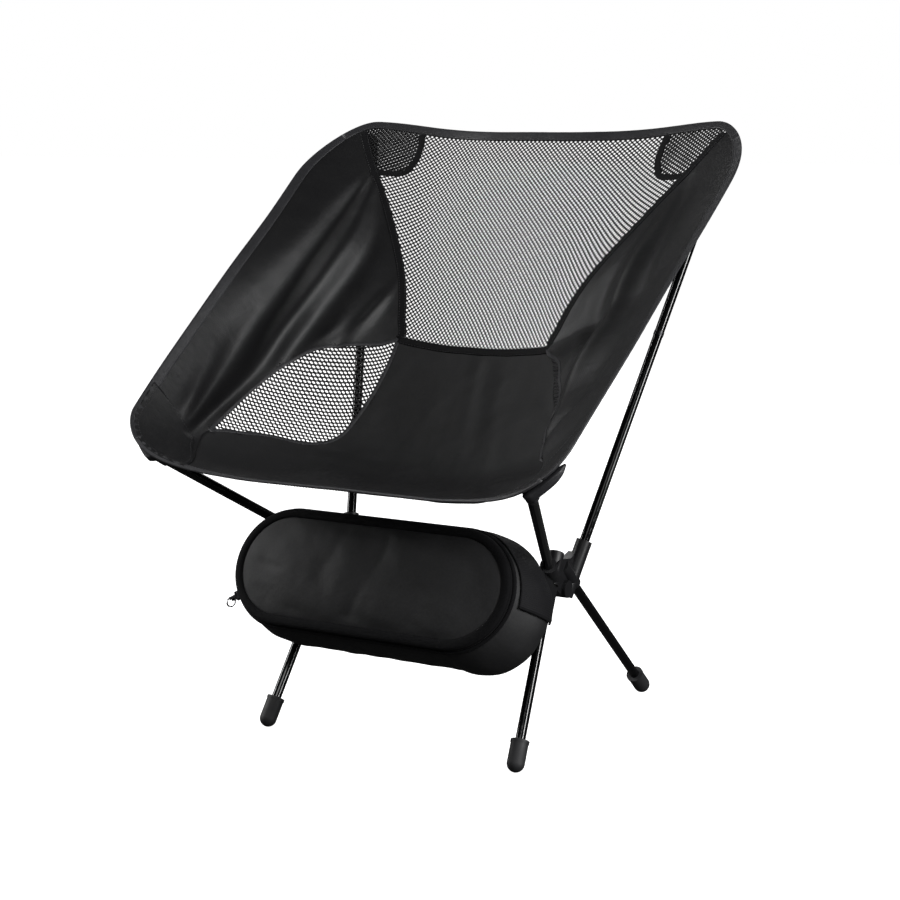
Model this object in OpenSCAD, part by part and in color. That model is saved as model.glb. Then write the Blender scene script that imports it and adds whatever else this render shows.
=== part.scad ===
// Ultralight backpacking chair: a pole frame on two hubs, a sling seat hung from
// four pole tips, and a zipped carry bag strapped under the seat.
// The chair faces -Y, +Z is up, and the sitter's left is +X. The origin is on the
// floor, under the middle of the chair.

/* [Frame] */
// Height of the back pole tips
back_tip_h = 625; // [540:5:760]
// Height of the front pole tips
front_tip_h = 306; // [255:1:370]
// Distance between the back pole tips
back_tip_w = 454; // [375:1:560]
// Distance between the front pole tips
front_tip_w = 425; // [354:1:510]
// How far the back tips stand behind the origin
back_tip_y = 231; // [190:1:290]
// How far the front tips stand in front of the origin
front_tip_y = 217; // [180:1:261]
// Height of the hubs' middle
hub_h = 169; // [150:1:200]
// Distance between the two hubs' middles
hub_span = 272; // [230:1:330]
// Distance from the front to the rear junction in a hub
junction_gap = 40; // [38:1:48]
// How far the hubs' middle stands behind the origin
hub_y = 9; // [0:1:20]
// Distance between the front feet
front_foot_w = 300; // [250:1:360]
// Distance between the rear feet
rear_foot_w = 308; // [256:1:370]
// How far the front feet stand in front of the origin
front_foot_y = 125; // [105:1:150]
// How far the rear feet stand behind the origin
rear_foot_y = 199; // [165:1:235]

/* [Tubes] */
// Outer diameter of the poles and legs
tube_d = 10.4; // [8.6:0.1:12.5]
// Wall of the poles and legs
tube_wall = 0.9; // [0.7:0.1:1.2]
// Diameter of the crossbar
crossbar_d = 12; // [10:0.5:14.5]
// Radial clearance of a tube in its socket
fit_gap = 0.06; // [0.02:0.01:0.1]
// Diameter of the shock cord
cord_d = 2.5; // [2:0.1:3]
// Height on the back pole where its two sections meet
ferrule_h = 417; // [380:1:480]

/* [Hub] */
// Wall of the hub's sleeves
sleeve_wall = 3.3; // [2.5:0.1:4]
// Length of a pole sleeve above its junction
sleeve_up = 44; // [36:1:53]
// Length of a pole sleeve below its junction
sleeve_down = 18; // [15:1:22]
// Distance from a junction to the end of its pole
pole_stop = 16; // [15:1:20]
// Distance from a junction to the top of its leg
leg_stop = 25; // [21:1:30]
// Thickness of the web between the sleeves
web_t = 10; // [8:0.5:12]

/* [Feet] */
// Wall of a foot cap round its leg
foot_wall = 4; // [3:0.1:5]
// Length of a foot cap
foot_len = 33; // [28:1:40]

/* [Seat] */
// Thickness of the seat cloth
cloth_t = 1.2; // [0.8:0.1:1.5]
// Width of the folded hems
hem_w = 12; // [10:0.5:14.5]
// Thickness of the folded hems
hem_t = 2.6; // [2.2:0.1:3.2]
// Width of the seam tapes
tape_w = 9; // [7:0.5:11]
// Length of a corner pocket on its pole
pocket_len = 50; // [40:1:60]
// Space between a pole tip and its pocket
pocket_gap = 1; // [0.8:0.1:1.5]

/* [Bag] */
// Length of the bag
bag_l = 320; // [265:1:330]
// Height of the bag's front panel
bag_h = 124; // [103:1:128]
// Depth of the bag behind its zip
bag_d = 86; // [72:1:92]
// Thickness of the bag's cloth
bag_wall = 1.5; // [1:0.1:2]
// Angle by which the front panel looks up
bag_tilt = 27; // [20:1:32]
// Height of the zip's tape and teeth
zip_h = 5; // [4:0.5:6]
// Width of a hanging strap
strap_w = 34; // [28:1:38]

/* [Hidden] */
$fn = 48;

LEFT = 1;
RIGHT = -1;
tube_r = tube_d / 2;
bore_r = tube_r + fit_gap;
tube_in = tube_r - tube_wall;
cord_r = cord_d / 2;
sleeve_r = bore_r + sleeve_wall;
foot_r = tube_r + foot_wall;
crossbar_r = crossbar_d / 2;
crossbar_wall = 1.2;
crossbar_drop = sleeve_r + 1.5;
rivet_r = 1.6;
touch = 0.05;

// ---- Points of the frame, for the side s (1 left, -1 right) ----

splay = 1.5;
rise = 5;
function front_joint(s) = [s * (hub_span / 2 - splay), hub_y - junction_gap / 2, hub_h + rise];
function rear_joint(s) = [s * (hub_span / 2 + splay), hub_y + junction_gap / 2, hub_h - rise];
function front_tip(s) = [s * front_tip_w / 2, -front_tip_y, front_tip_h];
function back_tip(s) = [s * back_tip_w / 2, back_tip_y, back_tip_h];
function front_toe(s) = [s * front_foot_w / 2, -front_foot_y, 0];
function rear_toe(s) = [s * rear_foot_w / 2, rear_foot_y, 0];
function unit(v) = v / norm(v);
function along(a, b, d) = a + unit(b - a) * d;

// The crossbar's axis runs below the legs' sockets
crossbar_y = hub_y;
crossbar_z = hub_h - crossbar_drop;
hub_in = hub_span / 2 - 14;
hub_out = hub_span / 2 + 9;
crossbar_end = hub_span / 2 + 2;

// Stand the child, drawn along +Z from the origin, on the line from a to b
module on_line(a, b) {
    d = b - a;
    translate(a) rotate([0, acos(d.z / norm(d)), atan2(d.y, d.x)]) children();
}

module rod(a, b, r) {
    on_line(a, b) cylinder(h = norm(b - a), r = r);
}

module tube(a, b, r, r_in) {
    difference() {
        rod(a, b, r);
        rod(along(a, b, -1), along(b, a, -1), r_in);
    }
}

// ---- Hubs and crossbar ----

module crossbar() {
    color("#1c1c1e") difference() {
        tube([-crossbar_end, crossbar_y, crossbar_z], [crossbar_end, crossbar_y, crossbar_z],
             crossbar_r, crossbar_r - crossbar_wall);
        for (s = [LEFT, RIGHT]) rivet_hole(s);
    }
}

rivet_x = hub_in + 5;
boss_r = crossbar_r + sleeve_wall;

module rivet_hole(s) {
    translate([s * rivet_x, crossbar_y, crossbar_z - 2 * boss_r]) cylinder(h = 4 * boss_r, r = rivet_r + touch);
}

module crossbar_rivets() {
    head_h = 1.2;
    color("#4a4a4d") for (s = [LEFT, RIGHT]) translate([s * rivet_x, crossbar_y, crossbar_z]) {
        translate([0, 0, -boss_r - touch]) cylinder(h = 2 * (boss_r + touch), r = rivet_r);
        translate([0, 0, -boss_r - touch - head_h]) cylinder(h = head_h, r = 2 * rivet_r);
    }
}

module leg_boss(joint, toe) {
    rod(along(joint, toe, sleeve_r - 1), along(joint, toe, -leg_stop - sleeve_wall), sleeve_r);
}

module leg_bore(joint, toe) {
    rod(along(joint, toe, 2 * sleeve_r), along(joint, toe, -leg_stop - touch), bore_r);
}

module pole_sleeve(joint, tip) {
    rod(along(joint, tip, -sleeve_down), along(joint, tip, sleeve_up), sleeve_r);
}

module pole_bore(joint, tip) {
    rod(along(joint, tip, pole_stop), along(joint, tip, sleeve_up + 1), bore_r);
}

// The web is drawn in the YZ plane, round the junctions and the crossbar's boss
module hub_web(s) {
    y0 = hub_y - junction_gap / 2;
    y1 = hub_y + junction_gap / 2;
    low = crossbar_z - boss_r * 0.7;
    outline = [[y0 - 4, hub_h - 4], [crossbar_y - boss_r * 0.7, low], [crossbar_y + boss_r * 0.7, low],
               [y1 + 2, hub_h - 12], [y1 + 8, hub_h + 24], [y1 - 8, hub_h + 20],
               [hub_y, hub_h + 22], [y0 + 8, hub_h + 24], [y0 - 6, hub_h + 18]];
    translate([s * hub_span / 2, 0, 0]) rotate([90, 0, 90])
        linear_extrude(web_t, center = true) polygon(outline);
}

module hub(s) {
    color("#242426") difference() {
        union() {
            pole_sleeve(front_joint(s), front_tip(s));
            pole_sleeve(rear_joint(s), back_tip(s));
            leg_boss(front_joint(s), front_toe(s));
            leg_boss(rear_joint(s), rear_toe(s));
            hub_web(s);
            rod([s * hub_in, crossbar_y, crossbar_z], [s * hub_out, crossbar_y, crossbar_z], boss_r);
        }
        pole_bore(front_joint(s), front_tip(s));
        pole_bore(rear_joint(s), back_tip(s));
        leg_bore(front_joint(s), front_toe(s));
        leg_bore(rear_joint(s), rear_toe(s));
        rod([s * (hub_in - 1), crossbar_y, crossbar_z],
            [s * (crossbar_end + touch), crossbar_y, crossbar_z], crossbar_r + touch);
        rivet_hole(s);
    }
}

// ---- Legs: a tube from its socket in the hub to its rubber foot ----

toe_sink = 0.4;
foot_floor = 2;
function ankle(joint, toe) = toe + unit(joint - toe) * (foot_r - toe_sink) / unit(joint - toe).z;

module leg(joint, toe) {
    color("#111113") tube(along(ankle(joint, toe), joint, foot_floor + touch),
                          along(joint, toe, -leg_stop), tube_r, tube_in);
}

module foot(joint, toe) {
    rim_h = 3;
    rim_out = 0.5;
    rise_h = foot_len - foot_r;
    color("#2a2a2c") difference() {
        on_line(ankle(joint, toe), joint) difference() {
            union() {
                sphere(foot_r);
                cylinder(h = rise_h, r = foot_r);
                translate([0, 0, rise_h - rim_h]) cylinder(h = rim_h, r = foot_r + rim_out);
            }
            translate([0, 0, foot_floor]) cylinder(h = foot_len, r = tube_r + touch);
        }
        translate([toe.x, toe.y, -foot_r]) cube([4 * foot_r, 4 * foot_r, 2 * foot_r], center = true);
    }
}

module leg_cord(joint, toe) {
    color("#d8d8d0") rod(along(ankle(joint, toe), joint, foot_floor + 4),
                         along(joint, toe, -leg_stop - touch), cord_r);
}

// ---- Poles ----

tip_r = tube_r + 0.5;
tip_head = 4;
stem_h = 12;
function pole_end(joint, tip) = along(tip, joint, tip_r + tip_head);
function ferrule_at(s) = let (a = rear_joint(s), b = back_tip(s))
    along(a, b, (ferrule_h - a.z) / unit(b - a).z);
collar_h = 5;
ferrule_len = 56;

module front_pole(s) {
    a = front_joint(s);
    color("#111113") tube(along(a, front_tip(s), pole_stop), pole_end(a, front_tip(s)), tube_r, tube_in);
}

module back_lower_pole(s) {
    a = rear_joint(s);
    color("#111113") tube(along(a, back_tip(s), pole_stop), along(ferrule_at(s), a, collar_h / 2), tube_r, tube_in);
}

module back_upper_pole(s) {
    a = rear_joint(s);
    color("#111113") tube(along(ferrule_at(s), back_tip(s), collar_h / 2), pole_end(a, back_tip(s)), tube_r, tube_in);
}

module ferrule(s) {
    at = ferrule_at(s);
    top = back_tip(s);
    sleeve_in = tube_in - touch;
    color("#3a3a3c") difference() {
        union() {
            rod(along(at, top, -ferrule_len / 2), along(at, top, ferrule_len / 2), sleeve_in);
            rod(along(at, top, -collar_h / 2 + touch), along(at, top, collar_h / 2 - touch), tube_r + 0.4);
        }
        rod(along(at, top, -ferrule_len), along(at, top, ferrule_len), sleeve_in - 1);
    }
}

module pole_tip(joint, tip) {
    end = pole_end(joint, tip);
    stem_r = tube_in - touch;
    dome = [for (a = [0:9:81]) [tip_r * cos(a), tip_head + tip_r * sin(a)]];
    color("#2a2a2c") on_line(end, tip) rotate_extrude()
        polygon(concat([[0, -stem_h], [stem_r, -stem_h], [stem_r, touch], [tip_r, touch]], dome, [[0, tip_head + tip_r]]));
}

module pole_cord(joint, tip) {
    color("#d8d8d0") rod(along(joint, tip, pole_stop + touch),
                         along(pole_end(joint, tip), joint, stem_h + touch), cord_r);
}

// ---- Sling seat ----
// The seat is one curved surface over u (0 in the middle, 1 at the side edge) and
// v (0 at the front edge, 1 at the top edge). Each row of NET crosses the seat at
// one v. A point is [x, y, z]: x in half-widths between the tips, y and z in
// fractions of the way from the front tips to the back tips.
NET = [
    [[0, 0.01, -0.085], [0.28, 0.005, -0.085], [0.575, -0.005, -0.08], [0.875, -0.03, -0.05], [1.16, -0.06, 0.03]],
    [[0, 0.235, -0.155], [0.29, 0.235, -0.15], [0.585, 0.215, -0.125], [0.915, 0.16, 0], [1.175, 0.115, 0.21]],
    [[0, 0.46, -0.13], [0.265, 0.455, -0.12], [0.55, 0.43, -0.04], [0.895, 0.365, 0.14], [1.185, 0.29, 0.38]],
    [[0, 0.605, 0.125], [0.235, 0.605, 0.135], [0.49, 0.58, 0.19], [0.845, 0.525, 0.355], [1.19, 0.465, 0.55]],
    [[0, 0.745, 0.435], [0.25, 0.74, 0.435], [0.505, 0.72, 0.46], [0.845, 0.68, 0.59], [1.195, 0.645, 0.715]],
    [[0, 0.88, 0.73], [0.275, 0.885, 0.73], [0.56, 0.895, 0.74], [0.875, 0.875, 0.815], [1.2, 0.815, 0.885]],
    [[0, 1.015, 1.015], [0.275, 1.02, 1.015], [0.565, 1.04, 1.025], [0.88, 1.025, 1.05], [1.195, 0.985, 1.055]]
];
rows = len(NET) - 1;
cols = len(NET[0]) - 1;
// The cloth lies this far above and in front of the pole tips' axes
seat_off = tube_r + pocket_gap + 3.8;
seat_low = front_tip_h + seat_off;
seat_rise = back_tip_h - seat_low;
seat_run = front_tip_y + back_tip_y - seat_off;
SEAT = [for (j = [0:rows]) [for (p = NET[j])
    [p.x * (front_tip_w + (back_tip_w - front_tip_w) * j / rows) / 2,
     p.y * seat_run - front_tip_y, p.z * seat_rise + seat_low]]];

// A smooth curve through b and c, whose slopes there come from a and d
function bend(a, b, c, d, t) =
    (2 * b + (c - a) * t + (2 * a - 5 * b + 4 * c - d) * t * t + (3 * b - a - 3 * c + d) * t * t * t) / 2;
function cross_row(P, t) = let (
    i = min(floor(t), cols - 1),
    before = i > 0 ? P[i - 1] : [-P[1].x, P[1].y, P[1].z],
    after = i + 2 <= cols ? P[i + 2] : 2 * P[cols] - P[cols - 1]
) bend(before, P[i], P[i + 1], after, t - i);
function row_point(j, t) = cross_row(SEAT[j], t);
function seat(u, v) = let (
    t = abs(u) * cols,
    w = v * rows,
    i = max(0, min(floor(w), rows - 1)),
    b = row_point(i, t),
    c = row_point(i + 1, t),
    a = i > 0 ? row_point(i - 1, t) : 2 * b - c,
    d = i + 2 <= rows ? row_point(i + 2, t) : 2 * c - b,
    p = bend(a, b, c, d, w - i)
) [u < 0 ? -p.x : p.x, p.y, p.z];
step = 0.004;
function seat_normal(u, v) = let (
    n = cross(seat(u + step, v) - seat(u - step, v), seat(u, v + step) - seat(u, v - step))
) n / norm(n);
function layer(q, off) = seat(q.x, q.y) + seat_normal(q.x, q.y) * off;

// Lengths on the cloth as shares of u and of v
function share_u(mm, v) = mm * 0.05 / norm(seat(1, v) - seat(0.95, v));
function share_v(mm, v) = mm * 0.04 / norm(seat(0.5, v + 0.02) - seat(0.5, v - 0.02));

// Half-width of the cloth at v, with corners rounded and its edge moved in by mm
corner_u = 0.2;
corner_front = 0.08;
corner_back = 0.2;
function low_v(mm) = share_v(mm, 0.02);
function high_v(mm) = 1 - share_v(mm, 0.98);
function edge_u(v, mm) = let (
    into = v < corner_front ? (corner_front - v) / (corner_front - low_v(mm))
         : v > 1 - corner_back ? (v - 1 + corner_back) / (high_v(mm) - 1 + corner_back) : 0,
    c = max(0, min(1, into))
) 1 - corner_u + (corner_u - share_u(mm, v)) * sqrt(1 - c * c);

// Seams, as half-widths u at given v
BASE_SEAM = [[0, 0.7], [0.05, 0.71], [0.1, 0.74], [0.174, 0.767], [0.226, 0.692], [0.256, 0.635],
             [0.285, 0.555], [0.306, 0.521], [0.345, 0.487], [0.39, 0.475], [0.45, 0.465], [0.57, 0.46]];
SIDE_SEAM = [[0.174, 0.767], [0.256, 0.761], [0.329, 0.743], [0.413, 0.705], [0.481, 0.643],
             [0.523, 0.57], [0.557, 0.484], [0.57, 0.46]];
BACK_SEAM = [[0.57, 0.46], [0.61, 0.465], [0.65, 0.48], [0.69, 0.5], [0.743, 0.56], [0.8, 0.635],
             [0.87, 0.74], [0.98, 0.86], [1, 0.88]];
rear_v = 0.57;
tip_v = 0.174;
function base_seam(v) = lookup(v, BASE_SEAM);
function side_seam(v) = v < tip_v ? base_seam(v) : v < rear_v ? lookup(v, SIDE_SEAM) : lookup(v, BACK_SEAM);

// A closed layer of cloth over a grid of [u, v], from lo to hi above the surface
module cloth(grid, lo, hi) {
    nr = len(grid);
    nc = len(grid[0]);
    n = nr * nc;
    flat = [for (r = grid) for (q = r) q];
    points = concat([for (q = flat) layer(q, hi)], [for (q = flat) layer(q, lo)]);
    top = [for (i = [0:nr - 2]) for (j = [0:nc - 2]) let (a = i * nc + j)
        each [[a, a + nc, a + nc + 1], [a, a + nc + 1, a + 1]]];
    bottom = [for (f = top) [f[2] + n, f[1] + n, f[0] + n]];
    rim = concat([for (j = [0:nc - 1]) j], [for (i = [1:nr - 1]) i * nc + nc - 1],
                 [for (j = [nc - 2:-1:0]) (nr - 1) * nc + j], [for (i = [nr - 2:-1:1]) i * nc]);
    m = len(rim);
    wall = [for (k = [0:m - 1]) let (a = rim[k], b = rim[(k + 1) % m])
        each [[a, b, b + n], [a, b + n, a + n]]];
    polyhedron(points, concat(top, bottom, wall));
}

function span(u0, u1, n) = [for (k = [0:n]) u0 + (u1 - u0) * k / n];
function grid_over(levels, from, to, n) = [for (i = [0:len(levels) - 1])
    [for (u = span(from[i], to[i], n)) [u, levels[i]]]];

seam_gap = 0.4;
panel_in = hem_w + seam_gap;
half_cloth = cloth_t / 2;
FRONT_V = [0.05, 0.1, 0.14, 0.174];
LOWER_V = [0.2, 0.226, 0.256, 0.285, 0.306, 0.329, 0.345, 0.39, 0.413, 0.45, 0.481, 0.523, 0.557];
BACK_V = [0.61, 0.65, 0.69, 0.743, 0.8, 0.835, 0.87, 0.9, 0.93, 0.96];

module seat_base_panel() {
    levels = concat([low_v(panel_in)], FRONT_V, LOWER_V, [rear_v - share_v(seam_gap, rear_v)]);
    out = [for (v = levels) base_seam(v)];
    color("#2b2b2d") cloth(grid_over(levels, -out, out, 12), -half_cloth, half_cloth);
}

module side_panel() {
    levels = concat([low_v(panel_in)], FRONT_V, LOWER_V, [rear_v], BACK_V);
    color("#262628") cloth(grid_over(levels, [for (v = levels) side_seam(v) + share_u(seam_gap, v)],
                                     [for (v = levels) edge_u(v, panel_in)], 6), -half_cloth, half_cloth);
}

module lower_mesh() {
    color("#3c3c3e") cloth(grid_over(LOWER_V, [for (v = LOWER_V) base_seam(v)],
                                     [for (v = LOWER_V) side_seam(v)], 4), -half_cloth, half_cloth);
}

module back_mesh_panel() {
    levels = concat([rear_v], BACK_V, [0.975, high_v(panel_in)]);
    out = [for (v = levels) min(side_seam(v), edge_u(v, panel_in))];
    color("#3c3c3e") cloth(grid_over(levels, -out, out, 14), -half_cloth, half_cloth);
}

// A point of the rounded front or back corner: turn is 0 at the side edge, 90 at the end edge
function corner_at(v, turn, mm) = [1 - corner_u + (corner_u - share_u(mm, v)) * cos(turn), v];
function front_corner(turn, mm) = corner_at(corner_front - (corner_front - low_v(mm)) * sin(turn), turn, mm);
function back_corner(turn, mm) = corner_at(1 - corner_back + (high_v(mm) - 1 + corner_back) * sin(turn), turn, mm);
split = 50;
function swing(a, b, n) = [for (k = [0:n]) a + (b - a) * k / n];
function side_path(mm) = concat(
    [for (t = swing(split, 0, 4)) front_corner(t, mm)],
    [for (v = concat([0.1, 0.14, 0.174], LOWER_V, [rear_v], [for (k = [0:3]) BACK_V[k]])) [1 - share_u(mm, v), v]],
    [for (t = swing(0, split, 6)) back_corner(t, mm)]);
function end_path(corner, mm) = let (
    arc = [for (t = swing(split, 90, 4)) corner < 0 ? front_corner(t, mm) : back_corner(t, mm)],
    v = arc[4].y
) concat(arc, [for (u = swing(0.7, -0.7, 14)) [u, v]],
         [for (k = [4:-1:0]) [-arc[k].x, arc[k].y]]);
function strip(outer, inner) = [for (k = [0:len(outer) - 1]) [inner[k], outer[k]]];

module edge_hem() {
    color("#1f1f21") cloth(strip(side_path(0), side_path(hem_w)), -hem_t / 2, hem_t / 2);
}

module front_hem() {
    color("#323234") cloth(strip(end_path(-1, hem_w), end_path(-1, 0)), -hem_t / 2, hem_t / 2);
}

module top_hem() {
    color("#1f1f21") cloth(strip(end_path(1, 0), end_path(1, hem_w)), -hem_t / 2, hem_t / 2);
}

tape_t = 0.6;
tape_low = half_cloth + 0.4;

module back_seam_tape() {
    levels = concat([rear_v + share_v(tape_w, rear_v)], [for (k = [0:8]) BACK_V[k]]);
    half = [for (v = levels) share_u(tape_w / 2, v)];
    color("#19191b") cloth(grid_over(levels, [for (i = [0:len(levels) - 1]) side_seam(levels[i]) - half[i]],
                                     [for (i = [0:len(levels) - 1]) side_seam(levels[i]) + half[i]], 1),
                           tape_low, tape_low + tape_t);
}

module rear_seam_tape() {
    half = share_v(tape_w / 2, rear_v);
    ends = base_seam(rear_v) * [1, 1];
    color("#19191b") cloth(grid_over([rear_v - half, rear_v + half], -ends, ends, 16),
                           tape_low, tape_low + tape_t);
}

// A pocket is a closed cloth sleeve over the pole's tip, sewn under the corner
module pocket(joint, tip) {
    in_r = tip_r + pocket_gap;
    mouth = along(tip, joint, pocket_len);
    crown = along(tip, joint, -pocket_gap);
    color("#19191b") difference() {
        rod(mouth, along(crown, joint, -cloth_t), in_r + cloth_t);
        rod(along(mouth, joint, 1), crown, in_r);
    }
}

// ---- Carry bag: x along the bag, y up its front panel, z out of the panel ----

// The bag hangs clear of the hubs, ahead of the front pole sleeves.
bag_x = -3;
bag_y = front_joint(LEFT).y - sleeve_r - (bag_d + zip_h) * cos(bag_tilt) - 49;
bag_z = hub_h + 19;
lid_gap = 0.4;
lid_t = 2.4;
piping_t = 1.6;
piping_w = 4;
end_x = (bag_l - bag_h) / 2;

module in_bag() {
    translate([bag_x, bag_y, bag_z]) rotate([90 - bag_tilt, 0, 0]) children();
}

module stadium(inset) {
    square([2 * end_x, bag_h - 2 * inset], center = true);
    for (s = [LEFT, RIGHT]) translate([s * end_x, 0]) circle(bag_h / 2 - inset, $fn = 64);
}

module bag_block(inset, from, to) {
    translate([0, 0, from]) linear_extrude(to - from) stadium(inset);
}

module bag_body() {
    color("#232325") in_bag() difference() {
        bag_block(0, -zip_h - bag_d, -zip_h);
        bag_block(bag_wall, -zip_h - bag_d + bag_wall, 0);
    }
}

module bag_zip_tape() {
    color("#141415") in_bag() difference() {
        bag_block(0.5, -zip_h, 0);
        bag_block(4, -zip_h - 1, 1);
    }
}

module bag_lid() {
    color("#232325") in_bag() bag_block(0, lid_gap, lid_gap + lid_t);
}

module bag_lid_piping() {
    low = lid_gap + lid_t;
    color("#141415") in_bag() difference() {
        bag_block(0, low, low + piping_t);
        bag_block(piping_w, low - 1, low + piping_t + 1);
    }
}

// A strap loops round the front leg below the hub and is sewn to the bag's back.
// It is drawn round Z, with its two plies running along +X to the bag.
strap_t = 1.5;
strap_in = tube_r + 1.2;
strap_from = sleeve_r + 5;

module strap_profile(r) {
    reach = 40;
    circle(r);
    translate([0, -r]) square([reach, 2 * r]);
}

module bag_strap(s) {
    a = front_joint(s);
    down = unit(front_toe(s) - a);
    out = [0, -cos(bag_tilt), sin(bag_tilt)];
    ahead = unit(out - down * (out * down));
    side = cross(down, ahead);
    turn = [[ahead.x, side.x, down.x], [ahead.y, side.y, down.y], [ahead.z, side.z, down.z]];
    yaw = atan2(turn[1][0], turn[0][0]);
    pitch = -asin(turn[2][0]);
    roll = atan2(turn[2][1], turn[2][2]);
    color("#1b1b1d") difference() {
        translate(a + down * strap_from) rotate([roll, pitch, yaw]) linear_extrude(strap_w) difference() {
            strap_profile(strap_in + strap_t);
            strap_profile(strap_in);
        }
        in_bag() bag_block(0, -zip_h - bag_d - touch, zip_h);
    }
}

// ---- Zip slider and its ring pull, at the bag's right end ----

zip_turn = 215;
slider_r = bag_h / 2 + 0.5;
bar_r = 0.8;
bar_out = 9.5;
ear_x = 2.4;
ring_r = 5;
ring_wire = 0.9;
slider_z = -zip_h / 2;

module at_slider() {
    in_bag() translate([-end_x, 0, slider_z]) rotate([0, 0, zip_turn]) translate([slider_r, 0, 0]) children();
}

module zip_slider() {
    color("#9a9a9c") at_slider() {
        translate([0, -4.5, -2.5]) cube([4, 9, 5]);
        for (s = [LEFT, RIGHT]) translate([3, -1.5, s * ear_x - 0.6]) cube([bar_out - 1.5, 3, 1.2]);
        translate([bar_out, 0, -ear_x]) cylinder(h = 2 * ear_x, r = bar_r);
    }
}

module zip_pull() {
    hang = ring_r - ring_wire - bar_r - 0.1;
    color("#b8b8ba") at_slider() translate([bar_out, 0, 0]) rotate([0, 0, -zip_turn])
        translate([0, -hang, 0]) rotate_extrude() translate([ring_r, 0]) circle(ring_wire, $fn = 24);
}

crossbar();
crossbar_rivets();
hub(LEFT);  // left_hub
hub(RIGHT);  // right_hub
leg(front_joint(LEFT), front_toe(LEFT));  // front_left_leg
leg(front_joint(RIGHT), front_toe(RIGHT));  // front_right_leg
leg(rear_joint(LEFT), rear_toe(LEFT));  // rear_left_leg
leg(rear_joint(RIGHT), rear_toe(RIGHT));  // rear_right_leg
foot(front_joint(LEFT), front_toe(LEFT));  // front_left_foot
foot(front_joint(RIGHT), front_toe(RIGHT));  // front_right_foot
foot(rear_joint(LEFT), rear_toe(LEFT));  // rear_left_foot
foot(rear_joint(RIGHT), rear_toe(RIGHT));  // rear_right_foot
leg_cord(front_joint(LEFT), front_toe(LEFT));  // front_left_leg_cord
leg_cord(front_joint(RIGHT), front_toe(RIGHT));  // front_right_leg_cord
leg_cord(rear_joint(LEFT), rear_toe(LEFT));  // rear_left_leg_cord
leg_cord(rear_joint(RIGHT), rear_toe(RIGHT));  // rear_right_leg_cord
front_pole(LEFT);  // front_left_pole
front_pole(RIGHT);  // front_right_pole
back_lower_pole(LEFT);  // left_back_lower_pole
back_lower_pole(RIGHT);  // right_back_lower_pole
ferrule(LEFT);  // left_ferrule
ferrule(RIGHT);  // right_ferrule
back_upper_pole(LEFT);  // left_back_upper_pole
back_upper_pole(RIGHT);  // right_back_upper_pole
pole_tip(front_joint(LEFT), front_tip(LEFT));  // front_left_pole_tip
pole_tip(front_joint(RIGHT), front_tip(RIGHT));  // front_right_pole_tip
pole_tip(rear_joint(LEFT), back_tip(LEFT));  // back_left_pole_tip
pole_tip(rear_joint(RIGHT), back_tip(RIGHT));  // back_right_pole_tip
pole_cord(front_joint(LEFT), front_tip(LEFT));  // front_left_pole_cord
pole_cord(front_joint(RIGHT), front_tip(RIGHT));  // front_right_pole_cord
pole_cord(rear_joint(LEFT), back_tip(LEFT));  // back_left_pole_cord
pole_cord(rear_joint(RIGHT), back_tip(RIGHT));  // back_right_pole_cord
seat_base_panel();
side_panel();  // left_side_panel
mirror([1, 0, 0]) side_panel();  // right_side_panel
back_mesh_panel();
lower_mesh();  // left_lower_mesh
mirror([1, 0, 0]) lower_mesh();  // right_lower_mesh
front_hem();
top_hem();
edge_hem();  // left_edge_hem
mirror([1, 0, 0]) edge_hem();  // right_edge_hem
back_seam_tape();  // left_back_seam_tape
mirror([1, 0, 0]) back_seam_tape();  // right_back_seam_tape
rear_seam_tape();
pocket(front_joint(LEFT), front_tip(LEFT));  // front_left_pocket
pocket(front_joint(RIGHT), front_tip(RIGHT));  // front_right_pocket
pocket(rear_joint(LEFT), back_tip(LEFT));  // back_left_pocket
pocket(rear_joint(RIGHT), back_tip(RIGHT));  // back_right_pocket
bag_body();
bag_lid();
bag_lid_piping();
bag_zip_tape();
bag_strap(LEFT);  // left_bag_strap
bag_strap(RIGHT);  // right_bag_strap
zip_slider();
zip_pull();
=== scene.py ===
"""Ultralight backpacking chair: the cloth, net, bag and finishes round its packed pole frame.

Lengths in this file are millimetres until a mesh is made, and metres after that.
The chair faces -Y, +Z is up, and the sitter's left is +X.
"""

import math

import bmesh
import bpy
import numpy as np
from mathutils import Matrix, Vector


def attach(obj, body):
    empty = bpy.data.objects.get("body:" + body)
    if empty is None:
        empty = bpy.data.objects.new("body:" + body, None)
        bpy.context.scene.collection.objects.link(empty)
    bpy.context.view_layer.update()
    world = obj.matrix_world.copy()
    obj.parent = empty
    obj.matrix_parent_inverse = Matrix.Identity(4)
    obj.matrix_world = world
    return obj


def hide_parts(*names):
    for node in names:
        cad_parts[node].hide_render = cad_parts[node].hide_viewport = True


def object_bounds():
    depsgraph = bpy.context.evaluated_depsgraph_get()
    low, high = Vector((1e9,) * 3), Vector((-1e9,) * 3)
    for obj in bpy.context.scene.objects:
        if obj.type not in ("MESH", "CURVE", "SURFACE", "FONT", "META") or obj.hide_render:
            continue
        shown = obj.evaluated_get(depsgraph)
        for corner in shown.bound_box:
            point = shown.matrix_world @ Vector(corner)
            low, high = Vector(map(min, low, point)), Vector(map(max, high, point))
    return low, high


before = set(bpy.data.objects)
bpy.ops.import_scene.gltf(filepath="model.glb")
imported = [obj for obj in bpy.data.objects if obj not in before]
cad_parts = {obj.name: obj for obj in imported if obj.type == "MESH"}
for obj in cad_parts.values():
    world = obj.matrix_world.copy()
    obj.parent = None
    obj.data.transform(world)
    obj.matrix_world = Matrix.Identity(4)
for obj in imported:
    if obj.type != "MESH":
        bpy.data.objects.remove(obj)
cad_low, cad_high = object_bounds()

MM = 0.001
LEFT, RIGHT = 1, -1
SIDES = {"left": LEFT, "right": RIGHT}

# ---- Camera, light and floor ----

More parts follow.
